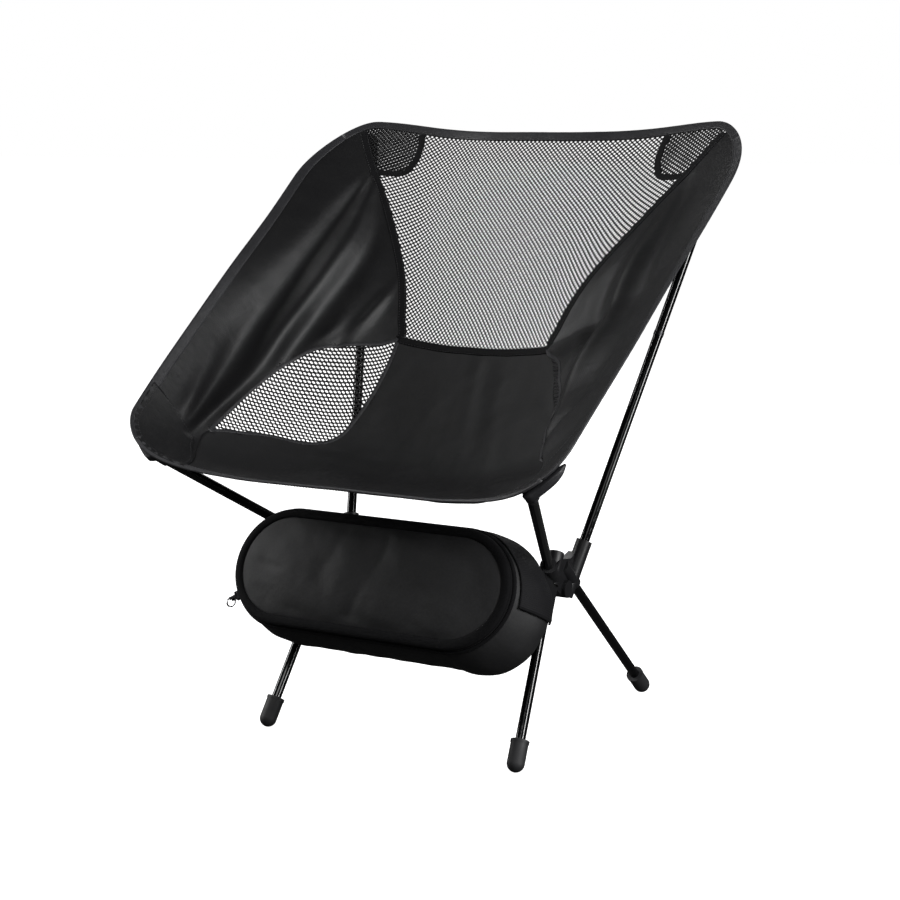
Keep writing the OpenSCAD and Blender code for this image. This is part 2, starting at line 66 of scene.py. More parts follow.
CAMERA_AT = (0.9502, -1.7036, 0.6343)
CAMERA_TURN = (80.16, 0, 28.94)
LENS = 74.26
FLOOR_SIZE = 60
ROOM_LIGHT = 0.05


def add_camera():
    """The camera stands in front of the chair and to the sitter's left, a little above the seat."""
    data = bpy.data.cameras.new("camera")
    data.lens = LENS
    camera = bpy.data.objects.new("camera", data)
    camera.location = CAMERA_AT
    camera.rotation_euler = [math.radians(a) for a in CAMERA_TURN]
    bpy.context.scene.collection.objects.link(camera)
    bpy.context.scene.camera = camera


def add_softbox(name, azimuth, elevation, distance, size, power):
    """An area light on a sphere round the seat, facing it: azimuth 0 is in front, 90 is on +X."""
    data = bpy.data.lights.new(name, "AREA")
    data.shape = "RECTANGLE"
    data.size, data.size_y = size
    data.energy = power
    light = bpy.data.objects.new(name, data)
    a, e = math.radians(azimuth), math.radians(elevation)
    middle = (cad_low + cad_high) / 2
    away = np.array([math.sin(a) * math.cos(e), -math.cos(a) * math.cos(e), math.sin(e)])
    light.location = np.array(middle) + away * distance
    light.rotation_euler = (math.radians(90 - elevation), 0, a)
    bpy.context.scene.collection.objects.link(light)


def linear(code, alpha=1.0):
    """An sRGB hex colour, as the linear RGBA that Blender's sockets take."""
    parts = [int(code[i:i + 2], 16) / 255 for i in (1, 3, 5)]
    return [c / 12.92 if c <= 0.04045 else ((c + 0.055) / 1.055) ** 2.4 for c in parts] + [alpha]


def add_node(tree, kind, inputs=(), **settings):
    """Adds a node with its settings. An input given as a socket is linked, and any other is its value."""
    made = tree.nodes.new(kind)
    for name, value in settings.items():
        setattr(made, name, value)
    for name, value in dict(inputs).items():
        if isinstance(value, bpy.types.NodeSocket):
            tree.links.new(value, made.inputs[name])
        else:
            made.inputs[name].default_value = value
    return made


def set_world():
    """A dim even room for the object, which the camera sees as white."""
    world = bpy.data.worlds.new("studio")
    bpy.context.scene.world = world
    world.use_nodes = True
    tree = world.node_tree
    tree.nodes.clear()
    rays = add_node(tree, "ShaderNodeLightPath")
    room = add_node(tree, "ShaderNodeBackground", {"Color": linear("#ffffff"), "Strength": ROOM_LIGHT})
    seen = add_node(tree, "ShaderNodeBackground", {"Color": linear("#ffffff"), "Strength": 1.0})
    both = add_node(tree, "ShaderNodeMixShader", {0: rays.outputs["Is Camera Ray"]})
    tree.links.new(room.outputs[0], both.inputs[1])
    tree.links.new(seen.outputs[0], both.inputs[2])
    add_node(tree, "ShaderNodeOutputWorld", {"Surface": both.outputs[0]})
    bpy.context.scene.view_settings.view_transform = "Standard"


# ---- Materials ----

def new_material(name):
    """An empty material with its output: returns the material and its node tree."""
    made = bpy.data.materials.new(name)
    made.use_nodes = True
    made.node_tree.nodes.clear()
    return made, made.node_tree


def finish_material(made, tree, shader):
    add_node(tree, "ShaderNodeOutputMaterial", {"Surface": shader.outputs[0]})
    return made


def oxford_cloth(name, dark, light, sheen=0.0, rough=0.46):
    """PU-coated polyester oxford: a plain weave, whose sheen has the weight sheen, none by default.
    Threads are about 0.5 mm apart, drawn 1.1 mm apart so that they show."""
    thread = 1.1 * MM
    made, tree = new_material(name)
    uv = add_node(tree, "ShaderNodeUVMap", uv_map="cloth").outputs[0]
    wave_scale = 0.314 / thread
    warp = add_node(tree, "ShaderNodeTexWave", {"Vector": uv, "Scale": wave_scale}, bands_direction="X")
    weft = add_node(tree, "ShaderNodeTexWave", {"Vector": uv, "Scale": wave_scale}, bands_direction="Y")
    weave = add_node(tree, "ShaderNodeMath", {0: warp.outputs["Fac"], 1: weft.outputs["Fac"]}, operation="MULTIPLY")
    crumple = add_node(tree, "ShaderNodeTexNoise", {"Vector": uv, "Scale": 34.0, "Detail": 5.0, "Roughness": 0.55})
    slub = add_node(tree, "ShaderNodeTexNoise", {"Vector": uv, "Scale": 420.0, "Detail": 3.0})
    tone = add_node(tree, "ShaderNodeMath", {0: crumple.outputs["Fac"], 1: slub.outputs["Fac"]}, operation="MULTIPLY")
    colour = add_node(tree, "ShaderNodeValToRGB", {"Fac": tone.outputs[0]})
    colour.color_ramp.elements[0].position = 0.12
    colour.color_ramp.elements[0].color = linear(dark)
    colour.color_ramp.elements[1].position = 0.42
    colour.color_ramp.elements[1].color = linear(light)
    low = add_node(tree, "ShaderNodeBump", {"Height": crumple.outputs["Fac"], "Strength": 0.35, "Distance": 3 * MM})
    fine = add_node(tree, "ShaderNodeBump", {"Height": weave.outputs[0], "Strength": 0.35, "Distance": 0.25 * MM,
                                             "Normal": low.outputs[0]})
    shader = add_node(tree, "ShaderNodeBsdfPrincipled", {
        "Base Color": colour.outputs[0], "Roughness": rough, "Specular IOR Level": 0.42,
        "Sheen Weight": sheen, "Sheen Roughness": 0.45, "Normal": fine.outputs[0]})
    return finish_material(made, tree, shader)


def knitted_yarn(name, code):
    """Warp-knitted polyester net: round smooth yarn, slightly shiny, with a fine twist."""
    made, tree = new_material(name)
    place = add_node(tree, "ShaderNodeTexCoord").outputs["Object"]
    twist = add_node(tree, "ShaderNodeTexNoise", {"Vector": place, "Scale": 900.0, "Detail": 2.0})
    bump = add_node(tree, "ShaderNodeBump", {"Height": twist.outputs["Fac"], "Strength": 0.3, "Distance": 0.2 * MM})
    base = linear(code)
    tone = add_node(tree, "ShaderNodeValToRGB", {"Fac": twist.outputs["Fac"]})
    tone.color_ramp.elements[0].color = [c * 0.8 for c in base[:3]] + [1]
    tone.color_ramp.elements[1].color = [c * 1.25 for c in base[:3]] + [1]
    shader = add_node(tree, "ShaderNodeBsdfPrincipled", {
        "Base Color": tone.outputs[0], "Roughness": 0.5, "Specular IOR Level": 0.4, "Normal": bump.outputs[0]})
    return finish_material(made, tree, shader)


def ribbed_tape(name, code, rib=1.4, rough=0.7):
    """Polyester grosgrain or webbing: ribs across a woven tape. rib is their spacing."""
    made, tree = new_material(name)
    uv = add_node(tree, "ShaderNodeUVMap", uv_map="cloth").outputs[0]
    ribs = add_node(tree, "ShaderNodeTexWave", {"Vector": uv, "Scale": 0.314 / (rib * MM)}, bands_direction="X")
    wear = add_node(tree, "ShaderNodeTexNoise", {"Vector": uv, "Scale": 120.0, "Detail": 4.0})
    colour = add_node(tree, "ShaderNodeValToRGB", {"Fac": wear.outputs["Fac"]})
    base = linear(code)
    colour.color_ramp.elements[0].color = [c * 0.75 for c in base[:3]] + [1]
    colour.color_ramp.elements[1].color = [c * 1.35 for c in base[:3]] + [1]
    bump = add_node(tree, "ShaderNodeBump", {"Height": ribs.outputs["Fac"], "Strength": 0.5, "Distance": 0.3 * MM})
    shader = add_node(tree, "ShaderNodeBsdfPrincipled", {
        "Base Color": colour.outputs[0], "Roughness": rough, "Specular IOR Level": 0.15,
        "Sheen Weight": 0.02, "Sheen Roughness": 0.5, "Normal": bump.outputs[0]})
    return finish_material(made, tree, shader)


def moulded(name, code, rough, grain, depth, level=0.45):
    """Moulded plastic or rubber with a spark-eroded grain. grain is its size and depth its height."""
    made, tree = new_material(name)
    place = add_node(tree, "ShaderNodeTexCoord").outputs["Object"]
    speck = add_node(tree, "ShaderNodeTexNoise", {"Vector": place, "Scale": 1 / (grain * MM), "Detail": 3.0})
    cloud = add_node(tree, "ShaderNodeTexNoise", {"Vector": place, "Scale": 60.0, "Detail": 3.0})
    dull = add_node(tree, "ShaderNodeMapRange", {"Value": cloud.outputs["Fac"], "From Min": 0.3, "From Max": 0.7,
                                                 "To Min": rough - 0.06, "To Max": rough + 0.08})
    bump = add_node(tree, "ShaderNodeBump", {"Height": speck.outputs["Fac"], "Strength": 0.35, "Distance": depth * MM})
    shader = add_node(tree, "ShaderNodeBsdfPrincipled", {
        "Base Color": linear(code), "Roughness": dull.outputs[0], "Specular IOR Level": level,
        "Normal": bump.outputs[0]})
    return finish_material(made, tree, shader)


def anodised(name, code, rough, metallic=0.0, ior=1.5):
    """Anodised aluminium tube, bright-dipped: a hard clear-edged highlight with faint draw lines."""
    made, tree = new_material(name)
    place = add_node(tree, "ShaderNodeTexCoord").outputs["Object"]
    drawn = add_node(tree, "ShaderNodeMapping", {"Vector": place, "Scale": (600, 600, 12)})
    lines = add_node(tree, "ShaderNodeTexNoise", {"Vector": drawn.outputs[0], "Scale": 1.0, "Detail": 2.0})
    polish = add_node(tree, "ShaderNodeMapRange", {"Value": lines.outputs["Fac"], "From Min": 0.3, "From Max": 0.7,
                                                   "To Min": rough - 0.04, "To Max": rough + 0.05})
    shader = add_node(tree, "ShaderNodeBsdfPrincipled", {
        "Base Color": linear(code), "Roughness": polish.outputs[0], "Metallic": metallic, "IOR": ior})
    return finish_material(made, tree, shader)


def floor_paint():
    """Matt white studio floor, lit from within as a light table is, mostly for the camera."""
    made, tree = new_material("studio_floor")
    seen = add_node(tree, "ShaderNodeLightPath").outputs["Is Camera Ray"]
    glow = add_node(tree, "ShaderNodeMapRange", {"Value": seen, "To Min": 0.0, "To Max": 1.0})
    paint = add_node(tree, "ShaderNodeMapRange", {"Value": seen, "To Min": 0.06, "To Max": 0.8})
    shader = add_node(tree, "ShaderNodeBsdfPrincipled", {
        "Base Color": paint.outputs[0], "Roughness": 0.9, "Specular IOR Level": 0.0,
        "Emission Color": linear("#ffffff"), "Emission Strength": glow.outputs[0]})
    return finish_material(made, tree, shader)


# ---- Meshes ----

def grid_faces(rows, cols, wrap=False, start=0):
    """Quads between the points of a grid with that many rows and columns. wrap joins the last column to the first."""
    across = cols if wrap else cols - 1
    i, j = np.meshgrid(np.arange(rows - 1), np.arange(across), indexing="ij")
    k = (j + 1) % cols
    return start + np.stack([i * cols + j, i * cols + k, (i + 1) * cols + k, (i + 1) * cols + j], -1).reshape(-1, 4)


def volume(points, faces):
    """Six times the space inside a closed mesh, which is negative if it is inside out."""
    total = 0.0
    for face in faces:
        a = points[face[:, 0]]
        for k in range(1, face.shape[1] - 1):
            total += np.einsum("ij,ij->", a, np.cross(points[face[:, k]], points[face[:, k + 1]]))
    return total


def add_mesh(name, points, faces, uv=None, material=None, closed=False, smooth=True, weld=0.0):
    """A piece from an array of points in millimetres and one or more arrays of faces.
    uv gives each point's place on the cloth in millimetres. closed turns the faces outwards."""
    faces = [np.asarray(f) for f in (faces if isinstance(faces, list) else [faces])]
    points = np.asarray(points, float).reshape(-1, 3)
    if closed and volume(points - points.mean(0), faces) < 0:
        faces = [f[:, ::-1] for f in faces]
    mesh = bpy.data.meshes.new(name)
    corners = np.concatenate([f.ravel() for f in faces])
    sizes = np.concatenate([np.full(len(f), f.shape[1]) for f in faces])
    mesh.vertices.add(len(points))
    mesh.vertices.foreach_set("co", (points * MM).ravel())
    mesh.loops.add(len(corners))
    mesh.loops.foreach_set("vertex_index", corners)
    mesh.polygons.add(len(sizes))
    mesh.polygons.foreach_set("loop_start", np.concatenate([[0], np.cumsum(sizes)[:-1]]))
    mesh.polygons.foreach_set("use_smooth", np.full(len(sizes), smooth))
    mesh.update(calc_edges=True)
    if uv is not None:
        layer = mesh.uv_layers.new(name="cloth")
        layer.data.foreach_set("uv", (np.asarray(uv).reshape(-1, 2)[corners] * MM).ravel())
    mesh.validate()
    if weld:
        work = bmesh.new()
        work.from_mesh(mesh)
        bmesh.ops.remove_doubles(work, verts=work.verts, dist=weld * MM)
        work.to_mesh(mesh)
        work.free()
    piece = bpy.data.objects.new(name, mesh)
    bpy.context.scene.collection.objects.link(piece)
    if material:
        mesh.materials.append(material)
    return piece


def thicken(piece, thickness):
    """Gives a single layer of cloth its thickness, half on each side."""
    wall = piece.modifiers.new("thickness", "SOLIDIFY")
    wall.thickness = thickness * MM
    wall.offset = 0
    return piece


def capped_tube(sections):
    """Points and faces of a closed tube through sections, an array of (sections, points round, 3)."""
    rows, cols = sections.shape[:2]
    ring = np.arange(cols)
    return sections.reshape(-1, 3), [grid_faces(rows, cols, wrap=True), ring[None, ::-1], ring[None] + (rows - 1) * cols]


def round_profile(width, height, count=16, power=0.5):
    """A rounded rectangle as a superellipse: (across, up) with across from 0 to width, up within half the height."""
    turn = np.arange(count) * 2 * math.pi / count
    c, s = np.cos(turn), np.sin(turn)
    return np.stack([width / 2 * (1 - np.sign(c) * np.abs(c) ** power), height / 2 * np.sign(s) * np.abs(s) ** power], 1)


def unit(v):
    v = np.asarray(v, float)
    return v / np.linalg.norm(v, axis=-1, keepdims=True)


def curve(x, knots):
    """A smooth curve through the knots (x, y): cubic pieces, level with the ends outside them."""
    xs, ys = np.array(knots, float).T
    slope = np.gradient(ys, xs)
    x = np.clip(x, xs[0], xs[-1])
    i = np.clip(np.searchsorted(xs, x) - 1, 0, len(xs) - 2)
    h = xs[i + 1] - xs[i]
    t = (x - xs[i]) / h
    return (ys[i] * (1 + 2 * t) * (1 - t) ** 2 + slope[i] * h * t * (1 - t) ** 2
            + ys[i + 1] * t * t * (3 - 2 * t) - slope[i + 1] * h * t * t * (1 - t))


def smooth_step(x, low, high):
    """0 up to low, 1 from high, and a smooth rise between."""
    t = np.clip((x - low) / (high - low), 0, 1)
    return t * t * (3 - 2 * t)


# ---- Frame points, in the frame's own sizes ----

HUB_H, HUB_SPAN, HUB_Y, JUNCTION_GAP, SPLAY, RISE = 169, 272, 9, 40, 1.5, 5
FRONT_TIP_H, FRONT_TIP_W, FRONT_TIP_Y = 306, 425, 217
BACK_TIP_H, BACK_TIP_W, BACK_TIP_Y = 625, 454, 231
FRONT_FOOT_W, FRONT_FOOT_Y = 300, 125
TUBE_R, POCKET_GAP = 5.2, 1


def front_joint(s):
    return np.array([s * (HUB_SPAN / 2 - SPLAY), HUB_Y - JUNCTION_GAP / 2, HUB_H + RISE])


def rear_joint(s):
    return np.array([s * (HUB_SPAN / 2 + SPLAY), HUB_Y + JUNCTION_GAP / 2, HUB_H - RISE])


def front_tip(s):
    return np.array([s * FRONT_TIP_W / 2, -FRONT_TIP_Y, FRONT_TIP_H])


def back_tip(s):
    return np.array([s * BACK_TIP_W / 2, BACK_TIP_Y, BACK_TIP_H])


def front_toe(s):
    return np.array([s * FRONT_FOOT_W / 2, -FRONT_FOOT_Y, 0])


# ---- Sling seat: one curved surface over u, 0 in the middle and 1 at the side edge,
# and v, 0 at the front edge and 1 at the top edge ----

# Rows of points across half the seat: x in half-widths, y and z in fractions from the front tips to the back tips
NET = np.array([
    [[0, 0.01, -0.085], [0.28, 0.005, -0.085], [0.575, -0.005, -0.08], [0.875, -0.03, -0.05], [1.16, -0.06, 0.03]],
    [[0, 0.235, -0.155], [0.29, 0.235, -0.15], [0.585, 0.215, -0.125], [0.915, 0.16, 0], [1.175, 0.115, 0.21]],
    [[0, 0.46, -0.13], [0.265, 0.455, -0.12], [0.55, 0.43, -0.04], [0.895, 0.365, 0.14], [1.185, 0.29, 0.38]],
    [[0, 0.605, 0.125], [0.235, 0.605, 0.135], [0.49, 0.58, 0.19], [0.845, 0.525, 0.355], [1.19, 0.465, 0.55]],
    [[0, 0.745, 0.435], [0.25, 0.74, 0.435], [0.505, 0.72, 0.46], [0.845, 0.68, 0.59], [1.195, 0.645, 0.715]],
    [[0, 0.88, 0.73], [0.275, 0.885, 0.73], [0.56, 0.895, 0.74], [0.875, 0.875, 0.815], [1.2, 0.815, 0.885]],
    [[0, 1.015, 1.015], [0.275, 1.02, 1.015], [0.565, 1.04, 1.025], [0.88, 1.025, 1.05], [1.195, 0.985, 1.055]]])
ROWS, COLS = NET.shape[0] - 1, NET.shape[1] - 1
SEAT_OFF = TUBE_R + POCKET_GAP + 3.8
SEAT_LOW = FRONT_TIP_H + SEAT_OFF


def seat_points():
    """NET in millimetres, with one more row and column all round, so that the surface runs smoothly to its edges."""
    half = (FRONT_TIP_W + (BACK_TIP_W - FRONT_TIP_W) * np.arange(ROWS + 1) / ROWS) / 2
    x = NET[..., 0] * half[:, None]
    y = NET[..., 1] * (FRONT_TIP_Y + BACK_TIP_Y - SEAT_OFF) - FRONT_TIP_Y
    z = NET[..., 2] * (BACK_TIP_H - SEAT_LOW) + SEAT_LOW
    p = np.stack([x, y, z], -1)
    p = np.concatenate([p[:, 1:2] * [-1, 1, 1], p, 2 * p[:, -1:] - p[:, -2:-1]], 1)
    return np.concatenate([2 * p[:1] - p[1:2], p, 2 * p[-1:] - p[-2:-1]], 0)


SEAT = seat_points()


def weights(t):
    """The shares of four points in a row on a smooth curve that passes through the middle two, at t between them."""
    return np.stack([-t + 2 * t ** 2 - t ** 3, 2 - 5 * t ** 2 + 3 * t ** 3,
                     t + 4 * t ** 2 - 3 * t ** 3, t ** 3 - t ** 2]) / 2


def seat(u, v):
    """The surface's point at (u, v): smooth curves across the seat, joined by smooth curves along it."""
    u, v = np.broadcast_arrays(np.asarray(u, float), np.asarray(v, float))
    t, w = np.abs(u) * COLS, v * ROWS
    i = np.clip(np.floor(t).astype(int), 0, COLS - 1)
    j = np.clip(np.floor(w).astype(int), 0, ROWS - 1)
    across, along = weights(t - i), weights(w - j)
    p = sum(along[b][..., None] * across[a][..., None] * SEAT[j + b, i + a] for a in range(4) for b in range(4))
    p[..., 0] *= np.where(u < 0, -1, 1)
    return p


def seat_normal(u, v, step=0.004):
    """The unit normal there, on the sitter's side."""
    return unit(np.cross(seat(u + step, v) - seat(u - step, v), seat(u, v + step) - seat(u, v - step)))


# A point at u on the sides moves about this far per unit of u, and at v per unit of v
U_MM, V_MM = 370, 620
MIDDLE_U_MM = 252

# Folds of the side panels: at each v, the fold's place u, its height and its half-width in mm.
# A slack panel's folds stand higher than its table says, by this factor
RIGHT_SLACK, LEFT_SLACK = 1.4, 1.0
RIGHT_FOLDS = [
    # the taut ridge from the front tip to the back tip
    [(0.12, 0.803, 0.7, 7), (0.2, 0.8, 4.1, 8), (0.348, 0.787, 6.2, 12), (0.443, 0.781, 6.8, 14),
     (0.53, 0.762, 6.8, 15), (0.616, 0.735, 6.2, 16), (0.695, 0.715, 5.4, 17), (0.815, 0.722, 3.5, 12),
     (0.88, 0.73, 0, 9)],
    # the hollow outside it
    [(0.13, 0.823, 0, 8), (0.2, 0.838, -3.4, 10), (0.3, 0.853, -4.6, 13), (0.406, 0.858, -5.4, 16),
     (0.557, 0.836, -5.9, 18), (0.672, 0.806, -5.9, 16), (0.788, 0.779, -4.3, 12), (0.87, 0.75, 0, 8)],
    # a low ridge near the front corner
    [(0.14, 0.865, 0, 10), (0.19, 0.868, 2.2, 10), (0.26, 0.885, 1.6, 12), (0.36, 0.91, 0, 14)],
    # the hollow inside the ridge
    [(0.36, 0.745, 0, 8), (0.464, 0.735, -3.8, 12), (0.558, 0.712, -5.1, 16), (0.648, 0.67, -4.3, 17),
     (0.74, 0.64, -1.4, 14), (0.8, 0.64, 0, 12)],
    # the short crease by the back seam
    [(0.5, 0.62, 0, 5), (0.54, 0.6, 2.4, 6), (0.602, 0.561, 3, 7), (0.66, 0.523, 0.8, 7), (0.7, 0.5, 0, 6)],
    # small creases where the seams meet
    [(0.44, 0.66, 0, 4), (0.49, 0.632, -1.8, 4.5), (0.56, 0.6, 0, 5)],
    [(0.47, 0.69, 0, 4), (0.52, 0.66, 1.4, 4.5), (0.58, 0.64, 0, 5)],
]
LEFT_FOLDS = [
    # the hollow between the panel's edge band and its middle
    [(0.19, 0.76, 0, 6), (0.24, 0.78, -2.6, 8), (0.29, 0.838, -4.4, 11), (0.374, 0.85, -5.6, 14),
     (0.432, 0.855, -6.0, 15), (0.52, 0.83, -6.0, 16), (0.6, 0.805, -5.6, 16), (0.7, 0.80, -4.4, 14),
     (0.8, 0.785, -2.4, 11), (0.88, 0.76, 0, 9)],
    # the sharp ridge inside it
    [(0.24, 0.785, 0, 5), (0.3, 0.787, 2.0, 6), (0.365, 0.785, 3.6, 7), (0.43, 0.788, 4.6, 8), (0.496, 0.778, 5.4, 9),
     (0.579, 0.728, 5.6, 10), (0.657, 0.722, 5.0, 12), (0.76, 0.727, 1.8, 12), (0.84, 0.73, 0, 9)],
    # the hollow by the back seam
    [(0.39, 0.765, 0, 5), (0.437, 0.751, -2.6, 6), (0.499, 0.73, -4.4, 8), (0.58, 0.64, -5.2, 13),
     (0.66, 0.625, -4.2, 15), (0.72, 0.65, -1.5, 14), (0.78, 0.68, 0, 12)],
]
# Creases of the base panel: at each v, the place u, height and half-width
BASE_FOLDS = [
    [(0.36, 0.10, 0, 10), (0.44, 0.07, -1.6, 12), (0.5, 0.045, -2.6, 12), (0.55, 0.03, -2.2, 10), (0.58, 0.02, 0, 9)],
    [(0.34, 0.14, 0, 14), (0.42, 0.13, 1.6, 16), (0.52, 0.11, 2.2, 16), (0.57, 0.1, 0, 12)],
    [(0.36, 0.5, 0, 6), (0.42, 0.47, -1.6, 7), (0.46, 0.42, -1.2, 8), (0.5, 0.4, 0, 8)],
    [(0.3, 0.34, 0, 8), (0.36, 0.30, 1.5, 9), (0.42, 0.27, 1.0, 9), (0.47, 0.25, 0, 8)],
    [(0.34, -0.28, 0, 10), (0.4, -0.22, -1.6, 12), (0.47, -0.16, -1.4, 12), (0.52, -0.1, 0, 9)],
    [(0.2, 0.05, 0, 16), (0.28, -0.02, 1.3, 18), (0.35, -0.1, 1.2, 16), (0.42, -0.18, 0, 12)],
    [(0.12, -0.5, 0, 8), (0.17, -0.46, 1.8, 9), (0.24, -0.4, 1.6, 10), (0.32, -0.37, 0, 9)],
    [(0.46, -0.44, 0, 7), (0.5, -0.4, 1.5, 8), (0.55, -0.36, 0.6, 8), (0.57, -0.35, 0, 8)],
]


def fold_height(u, v, folds, scale):
    """The sum of the folds: each is a bell curve across its own line, which runs along v."""
    total = np.zeros(np.shape(u))
    for knots in folds:
        k = np.array(knots)
        place, height, half = (curve(v, k[:, [0, c]]) for c in (1, 2, 3))
        inside = (v > k[0, 0]) & (v < k[-1, 0])
        total += np.where(inside, height * np.exp(-((u - place) * scale / half) ** 2), 0)
    return total


def ripple(a, b, length, seed):
    """Soft unevenness about 1 high: waves of about that length in six directions, over a and b in mm."""
    draw = np.random.default_rng(seed)
    turn, phase, stretch = draw.random((3, 6)) * [[2 * math.pi], [2 * math.pi], [0.8]]
    waves = [np.sin((a * math.cos(t) + b * math.sin(t)) * 2 * math.pi / (length * (0.7 + s)) + p)
             for t, p, s in zip(turn, phase, stretch)]
    return sum(waves) / 3


def cloth_height(u, v):
    """How far the cloth stands off the plain surface: the folds of both sides and of the base, and soft ripples."""
    u, v = np.broadcast_arrays(np.asarray(u, float), np.asarray(v, float))
    side = np.abs(u)
    calm = smooth_step(1 - side, 0.0, 0.07)
    folds = np.where(u < 0, fold_height(side, v, RIGHT_FOLDS, U_MM) * RIGHT_SLACK, fold_height(side, v, LEFT_FOLDS, U_MM) * LEFT_SLACK)
    base = fold_height(u, v, BASE_FOLDS, MIDDLE_U_MM) * (1 - smooth_step(v, 0.54, 0.6))
    on_base = (1 - smooth_step(side, 0.5, 0.62)) * (1 - smooth_step(v, 0.5, 0.57)) * smooth_step(v, 0.02, 0.12)
    crumple = ripple(u * MIDDLE_U_MM, v * V_MM, 46, 5) * 0.7 + ripple(u * MIDDLE_U_MM, v * V_MM, 21, 8) * 0.2
    wide = ripple(u * U_MM, v * V_MM, 95, 3) * 0.3
    return folds * calm + base + crumple * on_base + wide * calm * smooth_step(v, 0.0, 0.1)


# On the left, the slack side panel hangs in over the lower net, by mm at each v, and the base's edge gives way
LEFT_LEAN = [(0.1, 0), (0.174, 14), (0.22, 27), (0.26, 33), (0.32, 34), (0.38, 35), (0.42, 36), (0.46, 32),
             (0.5, 25), (0.54, 13), (0.58, 0)]
LEFT_GIVE = 22


def left_shift(u, v):
    """How far each point of the left side lies out from the plain surface. It is level at the panel's other edges."""
    low = base_seam(v)
    high = np.maximum(side_seam(v), low + 0.01)
    inward = smooth_step(u, low, high) * (1 - smooth_step(u, high, 0.99))
    outward = smooth_step(u, low - 0.22, low) * (1 - smooth_step(u, low, high))
    give = LEFT_GIVE * smooth_step(v, 0.17, 0.33) * (1 - smooth_step(v, 0.5, 0.585))
    return np.where(u > 0, give * outward - curve(v, LEFT_LEAN) * inward, 0)


def on_cloth(u, v, off=0.0):
    """The cloth's point at (u, v), off mm above its middle."""
    u, v = np.broadcast_arrays(np.asarray(u, float), np.asarray(v, float))
    p = seat(u, v) + seat_normal(u, v) * (cloth_height(u, v) + off)[..., None]
    p[..., 0] += left_shift(u, v)
    return p


def cloth_uv(u, v):
    """The place on the flat cloth, in mm."""
    return np.stack(np.broadcast_arrays(np.asarray(u) * 300, np.asarray(v) * V_MM), -1)


# The cloth's outline, with rounded corners, moved in by mm
CORNER_U, CORNER_FRONT, CORNER_BACK = 0.2, 0.08, 0.2
FRONT_SHARE = 0.04 / np.linalg.norm(seat(0.5, 0.04) - seat(0.5, 0.0))
BACK_SHARE = 0.04 / np.linalg.norm(seat(0.5, 1.0) - seat(0.5, 0.96))


def share_u(mm, v):
    """mm across the cloth near its side edge, as a share of u."""
    return mm * 0.05 / np.linalg.norm(seat(np.ones_like(v), v) - seat(np.full_like(v, 0.95), v), axis=-1)


def edge_u(v, mm):
    """Half-width of the cloth at v, with its corners rounded."""
    v = np.asarray(v, float)
    low, high = FRONT_SHARE * mm, 1 - BACK_SHARE * mm
    front = (CORNER_FRONT - v) / (CORNER_FRONT - low)
    back = (v - 1 + CORNER_BACK) / (high - 1 + CORNER_BACK)
    c = np.clip(np.where(v < CORNER_FRONT, front, np.where(v > 1 - CORNER_BACK, back, 0)), 0, 1)
    return 1 - CORNER_U + (CORNER_U - share_u(mm, v)) * np.sqrt(1 - c * c)


def corner(turn, mm, back):
    """A point of a rounded corner: turn is 0 at the side edge and 90 at the end edge."""
    turn = np.radians(turn)
    low, high = FRONT_SHARE * mm, 1 - BACK_SHARE * mm
    v = (1 - CORNER_BACK + (high - 1 + CORNER_BACK) * np.sin(turn) if back
         else CORNER_FRONT - (CORNER_FRONT - low) * np.sin(turn))
    return np.stack([1 - CORNER_U + (CORNER_U - share_u(mm, v)) * np.cos(turn), v], -1)


SPLIT = 50


def side_path(mm, s):
    """The side edge from one corner's split to the other's, on side s, as (u, v)."""
    v = np.linspace(CORNER_FRONT, 1 - CORNER_BACK, 90)[1:-1]
    edge = np.stack([1 - share_u(mm, v), v], -1)
    path = np.concatenate([corner(np.linspace(SPLIT, 0, 16), mm, False), edge,
                           corner(np.linspace(0, SPLIT, 24), mm, True)])
    return path * [s, 1]


def end_path(mm, back):
    """The front or top edge from one corner's split to the other's, as (u, v)."""
    arc = corner(np.linspace(SPLIT, 90, 12), mm, back)
    u = np.linspace(1 - CORNER_U, CORNER_U - 1, 90)[1:-1]
    middle = np.stack([u, np.full_like(u, arc[-1, 1])], -1)
    return np.concatenate([arc, middle, arc[::-1] * [-1, 1]])


# Seams, as (v, u)
BASE_SEAM = [(0, 0.7), (0.05, 0.71), (0.1, 0.74), (0.174, 0.767), (0.226, 0.692), (0.256, 0.635),
             (0.285, 0.555), (0.306, 0.521), (0.345, 0.487), (0.39, 0.475), (0.45, 0.462), (0.57, 0.442)]
SIDE_SEAM = [(0.174, 0.767), (0.256, 0.768), (0.329, 0.757), (0.413, 0.722), (0.481, 0.658),
             (0.523, 0.575), (0.557, 0.478), (0.57, 0.442)]
BACK_SEAM = [(0.57, 0.442), (0.61, 0.452), (0.65, 0.472), (0.69, 0.503), (0.743, 0.56), (0.8, 0.635),
             (0.87, 0.74), (0.98, 0.86), (1, 0.88)]
REAR_V, TIP_V, TOP_V = 0.57, 0.174, 0.968


def base_seam(v):
    return curve(v, BASE_SEAM)


def side_seam(v):
    """The side panel's inner edge: the base seam in front of the net, then the net's edge, then the back net's."""
    upper = curve(v, SIDE_SEAM + BACK_SEAM[1:])
    return np.where(v < TIP_V, base_seam(v), upper)


